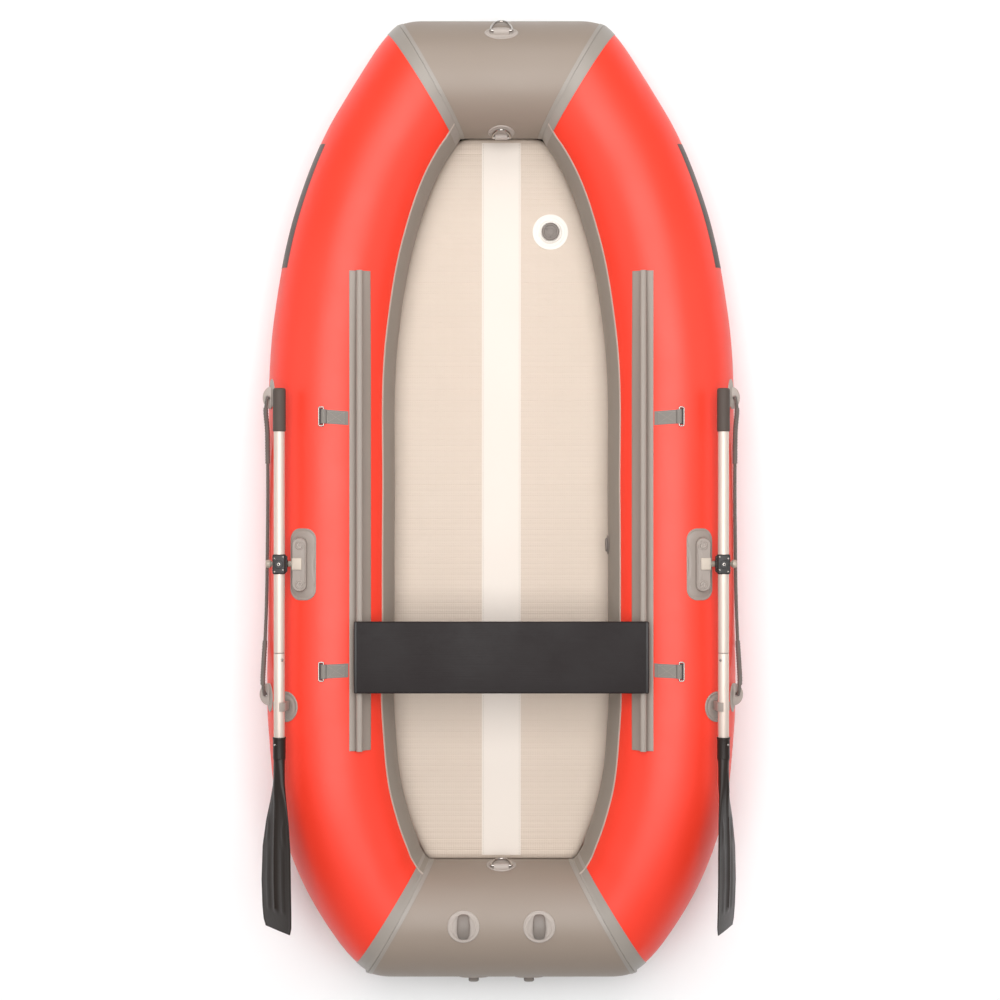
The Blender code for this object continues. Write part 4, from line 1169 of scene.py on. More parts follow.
def path_length(path: Sequence[Vector]) -> float:
    """How long a path is, in metres."""
    return sum((b - a).length for a, b in zip(path, path[1:], strict=False))


def arch(name: str, matrix: Matrix, width: float, outer: Point2, inner: Point2, radius: float, bite: float,
         soft: float = 0.002) -> bpy.types.Mesh:
    """A strap or handle that stands on a tube: width along the matrix's X, spanning its Y."""
    foot = [(u, -bite - u * u / (2 * radius)) for u in (outer[0], -outer[0], -inner[0], inner[0])]
    outline = [foot[0], *arc(*outer, 4, 176, 24), foot[1], foot[2], *arc(*inner, 176, 4, 20), foot[3]]
    stand = Matrix(((0, 0, 1, 0), (1, 0, 0, 0), (0, 1, 0, 0), (0, 0, 0, 1)))
    return prism(name, outline, -width / 2, width / 2, matrix @ stand, soft)


def wire_ring(name: str, matrix: Matrix, width: float, depth: float, radius: float,
              square: bool = False) -> bpy.types.Mesh:
    """A closed wire ring: its straight bar on the matrix's X and its bow reaching along its Y."""
    half = width / 2
    if square:
        corner = 0.0042
        outline = [(-half, 0), (half, 0)]
        outline += arc(corner, corner, 0, 90, 8, (half - corner, depth - corner))
        outline += arc(corner, corner, 90, 180, 8, (corner - half, depth - corner))
    else:
        outline = [(-half, 0), (half, 0), *arc(half, depth, 8, 172, 36)]
    outline = rounded(outline, 0.0030, 5)
    return tube(name, [matrix @ Vector((x, y, 0)) for x, y in outline], radius, 16, closed=True)


# ---------------------------------------------------------------- oars


@dataclass
class Oar:
    """One oar with the clamp round it."""

    name: str
    side: int
    x: float = 0.583
    z: float = 0.368
    lock_y: float = -0.163
    radius: float = 0.0145
    grip: tuple[float, float] = (0.2995, 0.185)
    shaft_end: float = 0.290
    split: float = -0.396
    blade: tuple[float, float] = (-0.617, -1.133)
    tilts: tuple[float, float] = (math.radians(51), math.radians(65))

    @property
    def place(self) -> Matrix:
        """A frame on the shaft's line, with its Z towards the grip."""
        return frame_of(Vector((self.side * self.x, 0, self.z)), Z_AXIS, Y_AXIS)

    @property
    def body(self) -> str:
        """The body that the oar's pieces move with."""
        return f"oar_{self.name}"

    def build(self) -> None:
        """Builds the oar from its grip to its blade."""
        self.shaft()
        self.handle()
        self.clamp()
        self.paddle()

    def turned(self, title: str, profile: Sequence[Point2], soft: float = 0.0004,
               sides: int = 40) -> bpy.types.Mesh:
        """A solid turned about the shaft, from (radius, y) corners."""
        return lathe(title, profile, self.place, sides, soft)

    def dot(self, title: str, y: float, turn: float, radius: float, rise: float) -> bpy.types.Mesh:
        """A small domed head on the shaft; turn is from its top towards outboard."""
        out = Vector((self.side * math.sin(turn), 0, math.cos(turn)))
        spot = Vector((self.side * self.x, y, self.z)) + out * (self.radius - 0.0009)
        profile = [(0, 0), (radius, 0), (radius, rise * 0.4), (radius * 0.72, rise * 0.85), (0, rise)]
        return lathe(title, profile, frame_of(spot, Y_AXIS, out), 20, 0.0003)

    def shaft(self) -> None:
        """Both tubes of the shaft, the joint between them and its button."""
        r, split, name = self.radius, self.split, self.name
        upper = [(0, split + 0.0006), (r - 0.0006, split + 0.0006), (r, split + 0.0016), (r, self.shaft_end),
                 (0, self.shaft_end)]
        piece(f"shaft_upper_{name}", self.turned("upper", upper), ALUMINIUM, self.body,
              [f"oar_shaft_upper_{name}"])
        end = self.blade[0] - 0.034
        lower = [(0, end), (r, end), (r, split - 0.0018), (r - 0.0008, split - 0.0006), (0, split - 0.0006)]
        piece(f"shaft_lower_{name}", self.turned("lower", lower), ALUMINIUM, self.body,
              [f"oar_shaft_lower_{name}"])
        liner = [(0, split - 0.004), (r - 0.0012, split - 0.004), (r - 0.0012, split + 0.004),
                 (0, split + 0.004)]
        piece(f"shaft_joint_{name}", self.turned("liner", liner), BLACK, self.body)
        dots = [self.dot("button", split - 0.018, math.radians(-38), 0.0040, 0.0034),
                self.dot("rivet", -0.636, math.radians(42), 0.0036, 0.0052)]
        piece(f"shaft_studs_{name}", joined("studs", dots), STEEL, self.body)

    def handle(self) -> None:
        """The smooth grip with its rounded end."""
        top, foot = self.grip
        full = 0.0170
        profile = [(0, foot), (0.0150, foot), (0.0164, foot + 0.0012), (full, foot + 0.0040),
                   (full, top - 0.0060), (0.0158, top - 0.0022), (0.0130, top - 0.0004), (0.0062, top),
                   (0.0055, top - 0.0014), (0, top - 0.0014)]
        piece(f"grip_{self.name}", self.turned("grip", profile, 0.0010), GRIP, self.body,
              [f"oar_grip_{self.name}"])

    def clamp(self) -> None:
        """The two-part clamp, its screws and the stub that it turns on."""
        s, x, y, z = self.side, self.side * self.x, self.lock_y, self.z
        parts = []
        for low, high in ((z - 0.0172, z - 0.0008), (z + 0.0008, z + 0.0172)):
            parts.append(box("half", (x - 0.0165, y - 0.0260, low),
                             (x + 0.0165, y + 0.0260, high), 0.0040, 4))
        parts.append(box("core", (x - 0.0158, y - 0.0250, z - 0.0020),
                         (x + 0.0158, y + 0.0250, z + 0.0020), 0.0008, 2))
        for step in (-0.0170, -0.0100, 0.0100, 0.0170):
            parts.append(box("rib", (x - 0.0172, y + step - 0.0014, z - 0.0130),
                             (x + 0.0172, y + step + 0.0014, z + 0.0135), 0.0007, 2))
        up = Matrix.Translation((x, y, 0))
        parts.append(lathe("stub", [(0, 0.3464), (0.0060, 0.3464), (0.0060, 0.3530), (0, 0.3530)],
                           up, 32, 0.0004))
        collar = [(0, z + 0.0150), (0.0120, z + 0.0150), (0.0116, z + 0.0184), (0.0098, z + 0.0190),
                  (0, z + 0.0190)]
        parts.append(lathe("collar", collar, up, 40, 0.0005))
        piece(f"clamp_{self.name}", joined("clamp", parts), BLACK, self.body, [f"oar_clamp_{self.name}"])
        heads = []
        for dx, dy in ((-0.0110, 0.0195), (0.0110, -0.0195), (0.0112, 0.0150), (-0.0112, -0.0150)):
            spot = Matrix.Translation((x + s * dx, y + dy, z + 0.0163))
            head = [(0, 0), (0.0024, 0), (0.0023, 0.0014), (0.0011, 0.0018), (0.0011, 0.0006), (0, 0.0006)]
            heads.append(lathe("screw", head, spot, 20, 0.0002))
        socket = [(0, z + 0.0184), (0.0046, z + 0.0184), (0.0046, z + 0.0197), (0.0030, z + 0.0200),
                  (0.0026, z + 0.0190), (0, z + 0.0190)]
        heads.append(lathe("bolt", socket, up, 6, 0.0001))
        piece(f"clamp_screws_{self.name}", joined("screws", heads), STEEL, self.body)

    def outline(self, y: float) -> tuple[float, float, float, float]:
        """The blade at y: its width, thickness, slant and how far it bows."""
        table = np.array([
            (-0.660, 0.031, 0.030, 0.0, 0.0),
            (-0.740, 0.044, 0.024, 0.0, 0.001),
            (-0.790, 0.076, 0.016, 0.0, 0.003),
            (-0.840, 0.108, 0.012, 0.0, 0.006),
            (-0.910, 0.134, 0.010, 0.0, 0.009),
            (-1.000, 0.142, 0.008, 0.0, 0.010),
            (-1.070, 0.140, 0.006, -0.002, 0.008),
            (-1.105, 0.134, 0.005, -0.003, 0.006),
            (-1.123, 0.118, 0.004, -0.0035, 0.005),
        ])[::-1]
        wide, thick, slant, bow = (float(np.interp(y, table[:, 0], table[:, k])) for k in range(1, 5))
        return wide, thick, slant, bow

    def paddle(self) -> None:
        """The moulded blade: a spine, a rib down each half, and the socket round the shaft."""
        tilt = self.tilts[0 if self.side < 0 else 1]
        across = Vector((-self.side * math.cos(tilt), 0, math.sin(tilt)))
        turn = Matrix((across, Y_AXIS, across.cross(Y_AXIS))).transposed().to_4x4()
        face = -1 if (turn @ Z_AXIS).z < 0 else 1
        place = Matrix.Translation((self.side * self.x, 0, self.z)) @ turn
        shares = [math.sin(math.pi / 2 * k / 12) for k in range(-12, 13)]
        rings = []
        for y in [*np.linspace(-0.660, -0.800, 16), *np.linspace(-0.808, -1.060, 34),
                  *np.linspace(-1.066, -1.123, 14)]:
            wide, thick, slant, bow = self.outline(float(y))
            taper = min(max((-0.700 - y) / 0.06, 0), 1)
            end = min(max((y + 1.078) / 0.012, 0), 1)
            ribbed = min(max((-0.820 - y) / 0.02, 0), 1) * end
            upper, lower = [], []
            for a in shares:
                off = a * wide / 2
                crown = thick / 2 * (1 - abs(a) ** 2.4 * 0.72) * math.sqrt(max(1 - abs(a) ** 14, 0.02))
                spine = 0.0040 * math.exp(-((off / 0.0062) ** 4)) * taper * end
                ribs = 0.0020 * math.exp(-(((abs(off) - 0.0360) / 0.0030) ** 4)) * ribbed
                rim = 0.0010 * math.exp(-(((wide / 2 - abs(off) - 0.0035) / 0.0026) ** 2)) * taper
                lift = face * bow
                upper.append(Vector((off, y + slant * a, lift + crown + spine + ribs + rim)))
                lower.append(Vector((off, y + slant * a, lift - crown - spine - ribs - rim)))
            rings.append([place @ p for p in upper + lower[::-1]])
        piece(f"blade_{self.name}", loft("blade", rings, 45), BLADE, self.body, [f"oar_blade_{self.name}"])
        start = self.blade[0]
        socket = [(0, start - 0.075), (0.0120, start - 0.075), (0.0166, start - 0.055),
                  (0.0166, start - 0.0060), (0.0176, start - 0.0050), (0.0176, start), (0.0150, start),
                  (0.0150, start - 0.002), (0, start - 0.002)]
        piece(f"socket_{self.name}", self.turned("socket", socket, 0.0006), BLADE, self.body)


@dataclass
class Lock:
    """One oarlock: the rubber mount, the steel pin and the bracket that rocks on it."""

    name: str
    side: int
    y: float = -0.163
    angle: float = math.radians(21.3)
    oar_x: float = 0.583
    pin_z: float = 0.336
    body_x: float = 0.533
    body_top: float = 0.348
    bosses: tuple[float, float] = (-0.0525, 0.0505)
    block_ends: tuple[float, float] = (0.5260, 0.5530)
    hub_ends: tuple[float, float] = (0.5640, 0.6020)
    head_at: float = 0.6085

    def build(self) -> None:
        """Builds the lock."""
        self.mount()
        self.pin()
        self.bracket()

    def along(self, start: float, profile: Sequence[Point2], title: str, sides: int = 32,
              soft: float = 0.0003) -> bpy.types.Mesh:
        """A solid turned about the pin's line, from (radius, distance outboard of start) corners."""
        out = X_AXIS * self.side
        return lathe(title, profile, frame_of(Vector((self.side * start, self.y, self.pin_z)), Z_AXIS, out),
                     sides, soft)

    def mount(self) -> None:
        """The pad with its raised rim, and the slotted body with a boss at each end."""
        centre_y = self.y - 0.002
        on_pad = LINES.near(self.side, centre_y, self.angle)
        edge = oval(0.0375, 0.0950, 0.030, 12, 0.006)
        profile = [(0, -SUNK), (0, 0.0018), (0.0008, 0.0028), (0.0022, 0.0031), (0.0040, 0.0031),
                   (0.0050, 0.0020), (0.0085, 0.0020), (0.0100, 0.0030)]
        piece(f"lock_pad_{self.name}", fitted("pad", edge, profile, on_pad), MOUNT,
              nodes=[f"oarlock_mount_{self.name}"])
        rings = []
        shape = oval(0.0200, 0.0720, 0.018, 10, 0.004)
        steps = ((1.0, 0.0), (0.985, 0.35), (0.95, 0.75), (0.915, 0.93), (0.86, 1.0))
        for scale, share in steps:
            ring = []
            for u, v in shape:
                x, tall, _ = LINES.side(centre_y + v)
                low = tall + math.sqrt((tall + 0.0012) ** 2 - (self.body_x + u - x) ** 2)
                spot = (self.body_x + u * scale, centre_y + v * (1 - (1 - scale) * 0.35))
                ring.append(Vector((self.side * spot[0], spot[1], low + (self.body_top - low) * share)))
            rings.append(ring)
        blocks = [loft("body", rings, 50)]
        for step in self.bosses:
            up = Matrix.Translation((self.side * (self.body_x - 0.001), centre_y + step, 0))
            boss = [(0, 0.336), (0.0125, 0.336), (0.0125, 0.3478), (0.0108, 0.3492), (0.0080, 0.3492),
                    (0.0070, 0.3474), (0, 0.3474)]
            blocks.append(lathe("boss", boss, up, 32, 0.0005))
        xs = sorted((self.side * (self.body_x - 0.0165), self.side * (self.body_x - 0.0140)))
        blocks.append(box("ridge", (xs[0], centre_y - 0.052, 0.340),
                          (xs[1], centre_y + 0.052, 0.3492), 0.0009, 3))
        piece(f"lock_body_{self.name}", joined("lock body", blocks), MOUNT)
        hooks = []
        for step, turn in zip(self.bosses, (1, -1), strict=True):
            path = [Vector((self.side * (self.body_x - 0.001 + 0.0052 * math.cos(t)),
                            centre_y + step + turn * 0.0052 * math.sin(t), 0.3484))
                    for t in np.linspace(-1.2, 3.4, 16)]
            hooks.append(tube("hook", path, 0.0016, 10))
        piece(f"lock_hooks_{self.name}", joined("hooks", hooks), PAD)

    def pin(self) -> None:
        """The block in the slot, the threaded neck, its collars and the domed head."""
        xs = sorted(self.side * x for x in self.block_ends)
        solid = [box("block", (xs[0], self.y - 0.0160, 0.3310), (xs[1], self.y + 0.0160, 0.3508), 0.0016, 4)]
        solid.append(self.along(0.5532, [(0, 0), (0.0090, 0), (0.0090, 0.0024), (0, 0.0024)], "collar"))
        thread = [(0, 0)]
        for k in range(3):
            thread += [(0.0072, k * 0.0026 + 0.0001), (0.0084, k * 0.0026 + 0.0013)]
        thread += [(0.0049, 0.0080), (0.0049, 0.0600), (0, 0.0600)]
        solid.append(self.along(0.5554, thread, "neck", 32, 0.0003))
        piece(f"lock_pin_{self.name}", joined("pin", solid), CAST, nodes=[f"oarlock_pin_{self.name}"])
        head = [(0, 0), (0.0088, 0), (0.0105, 0.0022), (0.0107, 0.0085), (0.0098, 0.0120),
                (0.0060, 0.0140), (0, 0.0144)]
        washer = [(0, -0.0022), (0.0078, -0.0022), (0.0078, -0.0002), (0, -0.0002)]
        heads = [self.along(self.head_at, head, "head"), self.along(self.head_at, washer, "washer")]
        piece(f"lock_head_{self.name}", joined("head", heads), CAST)

    def bracket(self) -> None:
        """The hub that rocks on the pin, and the table that the clamp turns on."""
        start, end = self.hub_ends
        hub = [(0.0056, 0), (0.0092, 0), (0.0095, 0.0008), (0.0095, 0.0050), (0.0086, 0.0058),
               (0.0086, 0.0322), (0.0095, 0.0330), (0.0095, end - start), (0.0056, end - start)]
        parts = [self.along(start, hub, "hub", 36, 0.0003)]
        xs = sorted((self.side * start, self.side * end))
        parts.append(box("table", (xs[0], self.y - 0.0210, 0.3432),
                         (xs[1], self.y + 0.0210, 0.3503), 0.0018, 3))
        for step in (-0.0125, 0.0125):
            web = sorted((self.side * 0.5700, self.side * 0.5960))
            parts.append(box("web", (web[0], self.y + step - 0.0016, 0.3370),
                             (web[1], self.y + step + 0.0016, 0.3440), 0.0006, 2))
        piece(f"bracket_{self.name}", joined("bracket", parts), BLACK, f"oar_bracket_{self.name}",
              [f"oar_bracket_{self.name}"])


@dataclass
class Clip:
    """One rubber clip that holds the stowed shaft."""

    name: str
    side: int
    y: float = -0.537
    angle: float = math.radians(38.6)
    oar_x: float = 0.583
    oar_z: float = 0.368
    bore: float = 0.0151
    width: float = 0.0230

    def build(self) -> None:
        """Builds the pad and the hook."""
        on_pad = LINES.near(self.side, self.y, self.angle)
        profile = [(0, -SUNK), (0, 0.0014), (0.0010, 0.0026), (0.0026, 0.0030), (0.0045, 0.0026),
                   (0.0062, 0.0014), (0.0095, 0.0014), (0.0115, 0.0028), (0.0140, 0.0032)]
        piece(f"clip_pad_{self.name}", fitted("clip pad", circle(0.0395, 0.0395, 56), profile, on_pad), MOUNT,
              nodes=[f"oar_clip_{self.name}"])
        hook = arc(0.0190, 0.0190, 96, 215, 22)
        hook += [(-0.0205, -0.0300), (-0.0225, -0.0540), (0.0070, -0.0775), (0.0120, -0.0300),
                 (0.0185, -0.0195), (0.0188, -0.0162), (0.0020, -self.bore)]
        hook += arc(self.bore, self.bore, 262, 98, 26)
        stand = Matrix(((self.side, 0, 0, self.side * self.oar_x), (0, 0, -self.side, self.y),
                        (0, 1, 0, self.oar_z), (0, 0, 0, 1)))
        arm = prism("clip hook", rounded(hook, 0.0016, 3), -self.width / 2, self.width / 2, stand, 0.0018)
        made = piece(f"clip_hook_{self.name}", arm, MOUNT)
        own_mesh(made)


# ---------------------------------------------------------------- tabs, eyes and lines


@dataclass
class Tab:
    """One webbing tab on a side tube, the square ring that it holds, and painted shadow under the ring."""

    where: str
    name: str
    side: int
    y: float
    middle_x: float = 0.4400
    half: tuple[float, float] = (0.0365, 0.0185)
    loop_at: float = 0.0290
    margin: float = 0.004
    stitch_at: float = 0.0028

    def build(self) -> None:
        """Builds the tab, its stitches, its ring, and a black sheet of painted shadow under the ring."""
        title = f"{self.where}_{self.name}"
        x, radius, _ = LINES.side(self.y)
        middle = (self.middle_x - x) / radius
        on_tab = LINES.near(self.side, self.y, middle)

        def on_grid(u: float, v: float, height: float) -> Vector:
            return on_tab(v, u, height)

        wide, long = self.half
        base = panel("base", np.linspace(-long, long, 12), np.linspace(-wide, wide, 24), 0.0013, on_grid)
        over = panel("over", np.linspace(-long + 0.0006, long - 0.0006, 12),
                     np.linspace(-wide + 0.010, self.loop_at - 0.0080, 20), 0.0026, on_grid)
        foot = LINES.side_frame(self.side, self.y, middle + self.loop_at / radius, 0.0016)
        loop = arch("loop", foot, 0.0372, (0.0077, 0.0068), (0.0040, 0.0050), radius, 0.0010, 0.0006)
        piece(f"tab_{title}_webbing", joined("tab", [base, over, loop]), WEBBING, nodes=[f"tab_{title}"])
        rows = []
        low, high, edge = -wide + 0.0120, self.loop_at - 0.0105, long - self.margin
        corners = [(low, -edge), (high, -edge), (high, edge), (low, edge), (low, -edge)]
        diagonals = [((low, start), (high, -start)) for start in (-edge, edge)]
        for (u0, v0), (u1, v1) in [*zip(corners, corners[1:], strict=False), *diagonals]:
            rows.append([on_tab(u0 + (u1 - u0) * k / 8, v0 + (v1 - v0) * k / 8, self.stitch_at)
                         for k in range(9)])
        stitches = row_of(f"stitches_{title}", rows, stitch_unit(0.0026, 0.0003), 0.0036, THREAD)
        piece(f"tab_{title}_stitches", stitches, THREAD)
        # Painted shadow: a black sheet under the ring stands in for the shade of the ring's inner side and
        # the tube beneath it.
        painted_ring_shadow = panel("painted_ring_shadow", np.linspace(-long - 0.0030, long + 0.0030, 8),
                        np.linspace(self.loop_at + 0.0030, 0.0410, 8), 0.0012, on_grid)
        piece(f"tab_{title}_backing", painted_ring_shadow, BLACK)
        bar = LINES.side_frame(self.side, self.y, middle + self.loop_at / radius, 0.0018 + 0.0023)
        ring = wire_ring("ring", bar, 0.050, 0.0125, 0.0018, square=True)
        piece(f"ring_{title}", ring, STEEL, f"tab_ring_{title}", [f"tab_ring_{title}"])


@dataclass
class Lifeline:
    """One grab line along a side tube, its two eyes and its sleeves."""

    name: str
    side: int
    eye_z: float = 0.240
    radius: float = 0.0045
    sleeve: float = 0.0061
    sleeves: tuple[tuple[str, float, float], ...] = (("front", 0.104, 0.252), ("rear", -0.492, -0.372))
    sleeve_foot: float = 0.215
    eyes: tuple[tuple[str, float, float, float], ...] = (("front", 0.2800, 0.6278, 0.6415),
                                                         ("rear", -0.5167, 0.6348, 0.6500))

    def build(self) -> None:
        """Builds the eyes and the line."""
        for where, y, hole_x, edge_x in self.eyes:
            self.eye(where, y, hole_x, edge_x)
        self.line()

    def root(self, y: float) -> float:
        """Where an ear leaves the tube."""
        x, radius, _ = LINES.side(y)
        return x + math.sqrt(radius**2 - (self.eye_z - 0.004 - radius) ** 2)

    def eye(self, where: str, y: float, hole_x: float, edge_x: float) -> None:
        """The patch on the tube's shoulder and the ear with its hole."""
        radius = LINES.side(y)[1]
        on_pad = LINES.near(self.side, y, math.acos((self.eye_z - radius) / radius))
        profile = [(0, -SUNK), (0, 0.0012), (0.0010, 0.0022), (0.0030, 0.0026), (0.0050, 0.0018),
                   (0.0075, 0.0018), (0.0090, 0.0026)]
        pad = fitted("eye pad", circle(0.0220, 0.0370, 48), profile, on_pad)
        root = self.root(y)
        ear = arc(edge_x - root, 0.0300, -78, 78, 24, (root, y))
        ear += [(root - 0.0012, y + 0.0300), (root - 0.0012, y - 0.0300)]
        outline = [(self.side * px, py) for px, py in ear]
        plate = pierced("ear", outline, (self.side * hole_x, y), self.radius + 0.0009, self.eye_z - 0.0040,
                        self.eye_z + 0.0040, Matrix(), 0.0016)
        up = Matrix.Translation((self.side * hole_x, y, self.eye_z))
        rim = [(0.0056, 0.0030), (0.0082, 0.0030), (0.0080, 0.0048), (0.0066, 0.0056), (0.0056, 0.0050)]
        solid = joined("eye", [pad, plate, lathe("rim", rim, up, 36, 0.0004)])
        piece(f"line_eye_{where}_{self.name}", solid, PAD, nodes=[f"rope_eye_{where}_{self.name}"])

    def corners(self) -> list[tuple[float, float, float]]:
        """The points that the line runs through, from under the front eye to under the rear one."""
        (_, front_y, front_x, _), (_, rear_y, rear_x, _) = self.eyes
        middle = [(0.6280, 0.1900, 0.2530), (0.6295, 0.1100, 0.2310), (0.6303, 0.0100, 0.2218),
                  (0.6316, -0.1200, 0.2210), (0.6335, -0.2500, 0.2200), (0.6370, -0.3600, 0.2230),
                  (0.6390, -0.4300, 0.2420)]
        first = [(front_x, front_y, 0.2330), (front_x, front_y, 0.2470),
                 (front_x + 0.0002, front_y - 0.0030, 0.2590), (front_x + 0.0010, front_y - 0.0170, 0.2700),
                 (front_x + 0.0024, front_y - 0.0400, 0.2690)]
        last = [(rear_x + 0.0034, rear_y + 0.0400, 0.2680), (rear_x + 0.0014, rear_y + 0.0170, 0.2700),
                (rear_x + 0.0002, rear_y + 0.0030, 0.2590), (rear_x, rear_y, 0.2470),
                (rear_x, rear_y, 0.2330)]
        return [(self.side * x, y, z) for x, y, z in (*first, *middle, *last)]

    def line(self) -> None:
        """The line, and the whipped sleeve at each of its ends."""
        path = smooth_path(self.corners(), 0.0040)
        rope = piece(f"grab_line_{self.name}", tube("rope", path, self.radius, 14), ROPE,
                     nodes=[f"lifeline_{self.name}"])
        for title, low, high in self.sleeves:
            part = [p for p in path if low < p.y < high and p.z > self.sleeve_foot]
            solid = [tube("sleeve", part, self.sleeve, 16)]
            wraps = [part[k] for k in range(0, len(part), 2)]
            for before, spot in zip(wraps, wraps[1:], strict=False):
                ahead = (spot - before).normalized()
                turn = ahead.to_track_quat("Z", "Y").to_matrix().to_4x4()
                bead = [(self.sleeve - 0.0006, -0.0016), (self.sleeve + 0.0007, -0.0009),
                        (self.sleeve + 0.0007, 0.0009), (self.sleeve - 0.0006, 0.0016)]
                solid.append(lathe("wrap", bead, Matrix.Translation(spot) @ turn, 16, 0.0002))
            piece(f"line_sleeve_{title}_{self.name}", joined("sleeve", solid), SLEEVE)
        length = path_length(path)
        LOG.info("grab line %s: %.3f m", self.name, length)
        tuple(path[0])
        [tuple(p) for p in path]


# ---------------------------------------------------------------- bow and stern fittings


@dataclass
class EndFittings:
    """The rings at the bow and the stern, and the four eyes on the stern tube."""

    stand: float = 0.0083
    handle_half: float = 0.0282
    handle_rise: float = 0.0122
    handle_sunk: float = 0.0022
    bar_half: float = 0.0048

    def build(self) -> None:
        """Builds every fitting on the end tubes."""
        self.ring("tow_ring", 1, (40, 58), 0.058, circle(0.0245, 0.0450), 40, 0.042)
        self.ring("inner_bow_ring", 1, (-80, -64), 0.048, circle(0.036, 0.036), -74, 0.034)
        self.ring("inner_stern_ring", -1, (-68, -84), 0.056, circle(0.034, 0.040), -75, 0.040)
        for name, side in SIDES.items():
            self.eye(f"stern_eye_upper_{name}", side * 0.1005, math.radians(-3), 0.033)
            self.eye(f"stern_eye_lower_{name}", side * 0.0755, math.radians(92), 0.028)

    def pad(self, title: str, end: int, x: float, angle: float, outline: Sequence[Point2]) -> bpy.types.Mesh:
        """A moulded patch with two raised rims."""
        radius = LINES.end(end)[2]

        def on_pad(u: float, v: float, height: float) -> Vector:
            return LINES.on_end(end, x + v, angle + u / radius, height)

        profile = [(0, -SUNK), (0, 0.0014), (0.0010, 0.0026), (0.0032, 0.0030), (0.0050, 0.0017),
                   (0.0085, 0.0017), (0.0100, 0.0028), (0.0118, 0.0030), (0.0132, 0.0020)]
        return fitted(title, outline, profile, on_pad)

    def ring(self, name: str, end: int, turns: Point2, width: float, outline: Sequence[Point2], patch: float,
             strap: float) -> None:
        """A D-ring, its patch and the strap over its bar."""
        radius = LINES.end(end)[2]
        start, stop = (math.radians(turn) for turn in turns)
        foot = LINES.end_frame(end, 0, start, 0.003)
        loop = arch("strap", foot, strap, (0.0094, 0.0110), (0.0048, 0.0088), radius, 0.0016, 0.0010)
        solid = joined(name, [self.pad("pad", end, 0, math.radians(patch), outline), loop])
        piece(f"{name}_mount", solid, PAD, nodes=[f"{name}_patch"])
        bar, tip = LINES.on_end(end, 0, start, self.stand), LINES.on_end(end, 0, stop, self.stand)
        normal = LINES.end_frame(end, 0, (start + stop) / 2, 0).to_3x3() @ Z_AXIS
        made = wire_ring("ring", frame_of(bar, tip - bar, normal), width, (tip - bar).length, 0.0029)
        piece(f"{name}_wire", made, STEEL, name, [name])

    def eye(self, name: str, x: float, angle: float, width: float) -> None:
        """One moulded eye: a round patch with a handle."""
        piece(f"{name}_pad", self.pad("pad", -1, x, angle, circle(0.0430, 0.0430)), PAD, nodes=[name])
        foot = LINES.end_frame(-1, x, angle, 0.003)
        rings = []
        for t in np.linspace(-0.05, math.pi + 0.05, 25):
            swell = 0.60 + 0.40 * max(math.sin(t), 0) ** 0.45
            ring = []
            for k in range(24):
                turn = math.tau * k / 24
                c, d = math.cos(turn), math.sin(turn)
                flat = math.copysign(abs(c) ** 0.7, c) * width / 2 * swell
                thick = math.copysign(abs(d) ** 0.8, d) * self.bar_half
                span, rise = self.handle_half + thick, self.handle_rise + thick
                ring.append(foot @ Vector((flat, span * math.cos(t), rise * math.sin(t) - self.handle_sunk)))
            rings.append(ring)
        handle = loft("handle", rings, 50)
        piece(f"{name}_handle", handle, RUBBER)


@dataclass
class Valves:
    """The floor's valve and the side chamber's valve."""

    floor_at: tuple[float, float, float] = (0.1355, 0.745, 0.100)
    side_y: float = -0.115

    def build(self) -> None:
        """Builds both valves."""
        place = Matrix.Translation(self.floor_at)
        flange = [(0, 0.0001), (0.0490, 0.0001), (0.0490, 0.0012), (0.0484, 0.0017), (0.0420, 0.0017),
                  (0.0412, 0.0012), (0.0396, 0.0012), (0.0388, 0.0020), (0.0335, 0.0022),
                  (0.0325, 0.0014), (0, 0.0014)]
        piece("valve_flange", lathe("flange", flange, place, 72, 0.0003), WHITE, nodes=["floor_valve_patch"])
        rim = [(0, 0.0004), (0.0305, 0.0004), (0.0305, 0.0040), (0.0295, 0.0052), (0.0262, 0.0052),
               (0.0258, 0.0030), (0, 0.0030)]
        piece("valve_rim", lathe("rim", rim, place, 60, 0.0004), WHITE, nodes=["floor_valve_body"])
        self.cap("floor_valve_cap", place, 0.0245, 0.0054, 0.0120)
        wall = LINES.on_side(1, self.side_y, -math.pi / 2)
        inward = frame_of(wall, Y_AXIS, -X_AXIS)
        body = [(0, 0.0004), (0.0262, 0.0004), (0.0258, 0.0020), (0.0240, 0.0032), (0.0205, 0.0034),
                (0.0200, 0.0024), (0, 0.0024)]
        piece("side_valve_rim", lathe("rim", body, inward, 48, 0.0004), RUBBER, nodes=["side_valve_body"])
        self.cap("side_valve_cap", inward, 0.0190, 0.0034, 0.0085)

    def cap(self, name: str, place: Matrix, radius: float, low: float, high: float) -> None:
        """A screw cap with a knurled edge, a dished top and a raised grip across it."""
        profile = [(0, low), (radius - 0.0014, low), (radius - 0.0008, low + 0.0006),
                   (radius - 0.0008, high - 0.0016), (radius * 0.86, high), (radius * 0.74, high),
                   (radius * 0.68, high - 0.0024), (radius * 0.42, high - 0.0024),
                   (radius * 0.37, high - 0.0012), (0, high - 0.0012)]
        parts = [lathe("cap", profile, place, 60, 0.0004)]
        for k in range(24):
            turn = Matrix.Rotation(math.tau * k / 24, 4, "Z")
            edge = radius - 0.0011
            rib = box("knurl", (edge - 0.0008, -0.0010, low + 0.0008),
                      (edge + 0.0010, 0.0010, high - 0.0020), 0.0004, 2)
            rib.transform(place @ turn)
            parts.append(rib)
        for k in range(3):
            turn = Matrix.Rotation(math.tau * k / 3 + 0.4, 4, "Z")
            bar = box("grip", (radius * 0.34, -0.0016, high - 0.0040),
                      (radius * 0.76, 0.0016, high - 0.0003), 0.0007, 2)
            bar.transform(place @ turn)
            parts.append(bar)
        piece(f"{name}_shell", joined(name, parts), RUBBER, name, [name])


# ---------------------------------------------------------------- stage, light and camera


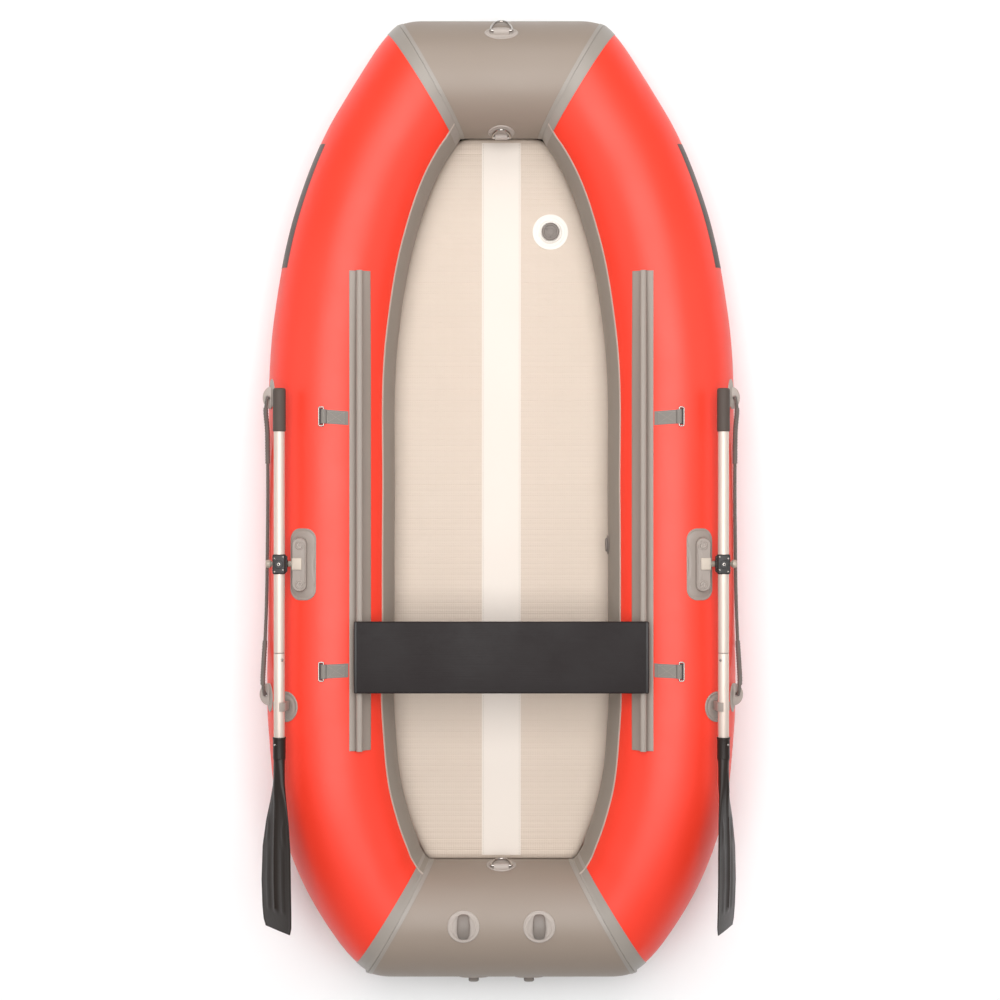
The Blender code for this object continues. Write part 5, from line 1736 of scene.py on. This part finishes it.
@dataclass
class Studio:
    """The pale floor, the soft light and the camera."""

    eye: tuple[float, float, float] = (-0.0036, 0.0055, 5.56)
    focal: float = 71.2
    reach: float = 200.0
    world: float = 0.36

    def build(self) -> None:
        """Sets the stage."""
        mesh = bpy.data.meshes.new("ground")
        far, low = self.reach, -0.001
        mesh.from_pydata([(-far, -far, low), (far, -far, low), (far, far, low), (-far, far, low)], [],
                         [(0, 1, 2, 3)])
        ground = bpy.data.objects.new("ground", mesh)
        bpy.context.scene.collection.objects.link(ground)
        pale = bpy.data.materials.new("pale ground")
        pale.use_nodes = True
        shader = pale.node_tree.nodes["Principled BSDF"]
        for title, value in (("Base Color", (0.90, 0.90, 0.90, 1)), ("Roughness", 0.9),
                             ("Specular IOR Level", 0.1)):
            shader.inputs[title].default_value = value
        mesh.materials.append(pale)
        self.lamp("overhead", (0.0, 0.35, 4.6), (0, 0.35, 0), 4.2, 230)
        self.lamp("bow_light", (0.0, 3.9, 3.4), (0, 0.9, 0.2), 2.2, 55)
        self.lamp("fill_port", (-4.2, 0.5, 2.6), (0, 0, 0.2), 2.5, 22)
        self.lamp("fill_starboard", (4.2, 0.5, 2.6), (0, 0, 0.2), 2.5, 22)
        world = bpy.data.worlds.new("studio")
        world.use_nodes = True
        world.node_tree.nodes["Background"].inputs["Color"].default_value = (1, 1, 1, 1)
        world.node_tree.nodes["Background"].inputs["Strength"].default_value = self.world
        bpy.context.scene.world = world
        bpy.context.scene.view_settings.view_transform = "Standard"
        lens = bpy.data.cameras.new("camera")
        lens.sensor_width = 36
        lens.lens = self.focal
        camera = bpy.data.objects.new("camera", lens)
        camera.location = self.eye
        bpy.context.scene.collection.objects.link(camera)
        bpy.context.scene.camera = camera

    def lamp(self, name: str, spot: Sequence[float], aim: Sequence[float], size: float, power: float) -> None:
        """One large soft lamp."""
        light = bpy.data.lights.new(name, "AREA")
        light.size = size
        light.energy = power
        lamp = bpy.data.objects.new(name, light)
        lamp.location = spot
        lamp.rotation_euler = (Vector(spot) - Vector(aim)).to_track_quat("Z", "Y").to_euler()
        bpy.context.scene.collection.objects.link(lamp)


def paint_parts() -> None:
    """Gives the plain parts that still show their finishes."""
    for name, finish in (("bulkhead_bow", GREY), ("bulkhead_stern", GREY), ("bottom_skin", BOTTOM)):
        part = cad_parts[name]
        part.data.materials.clear()
        part.data.materials.append(finish.material())


def main() -> None:
    """Builds the boat and its stage."""
    logging.basicConfig(level=logging.INFO, format="%(message)s")
    paint_parts()
    Hull().build()
    Seat().build()
    for name, side in SIDES.items():
        Oar(name, side).build()
        Lock(name, side).build()
        Clip(name, side).build()
        for where, y in TABS_Y.items():
            Tab(where, name, side, y).build()
        Lifeline(name, side).build()
    EndFittings().build()
    Valves().build()
    Studio().build()


if __name__ == "__main__":
    main()
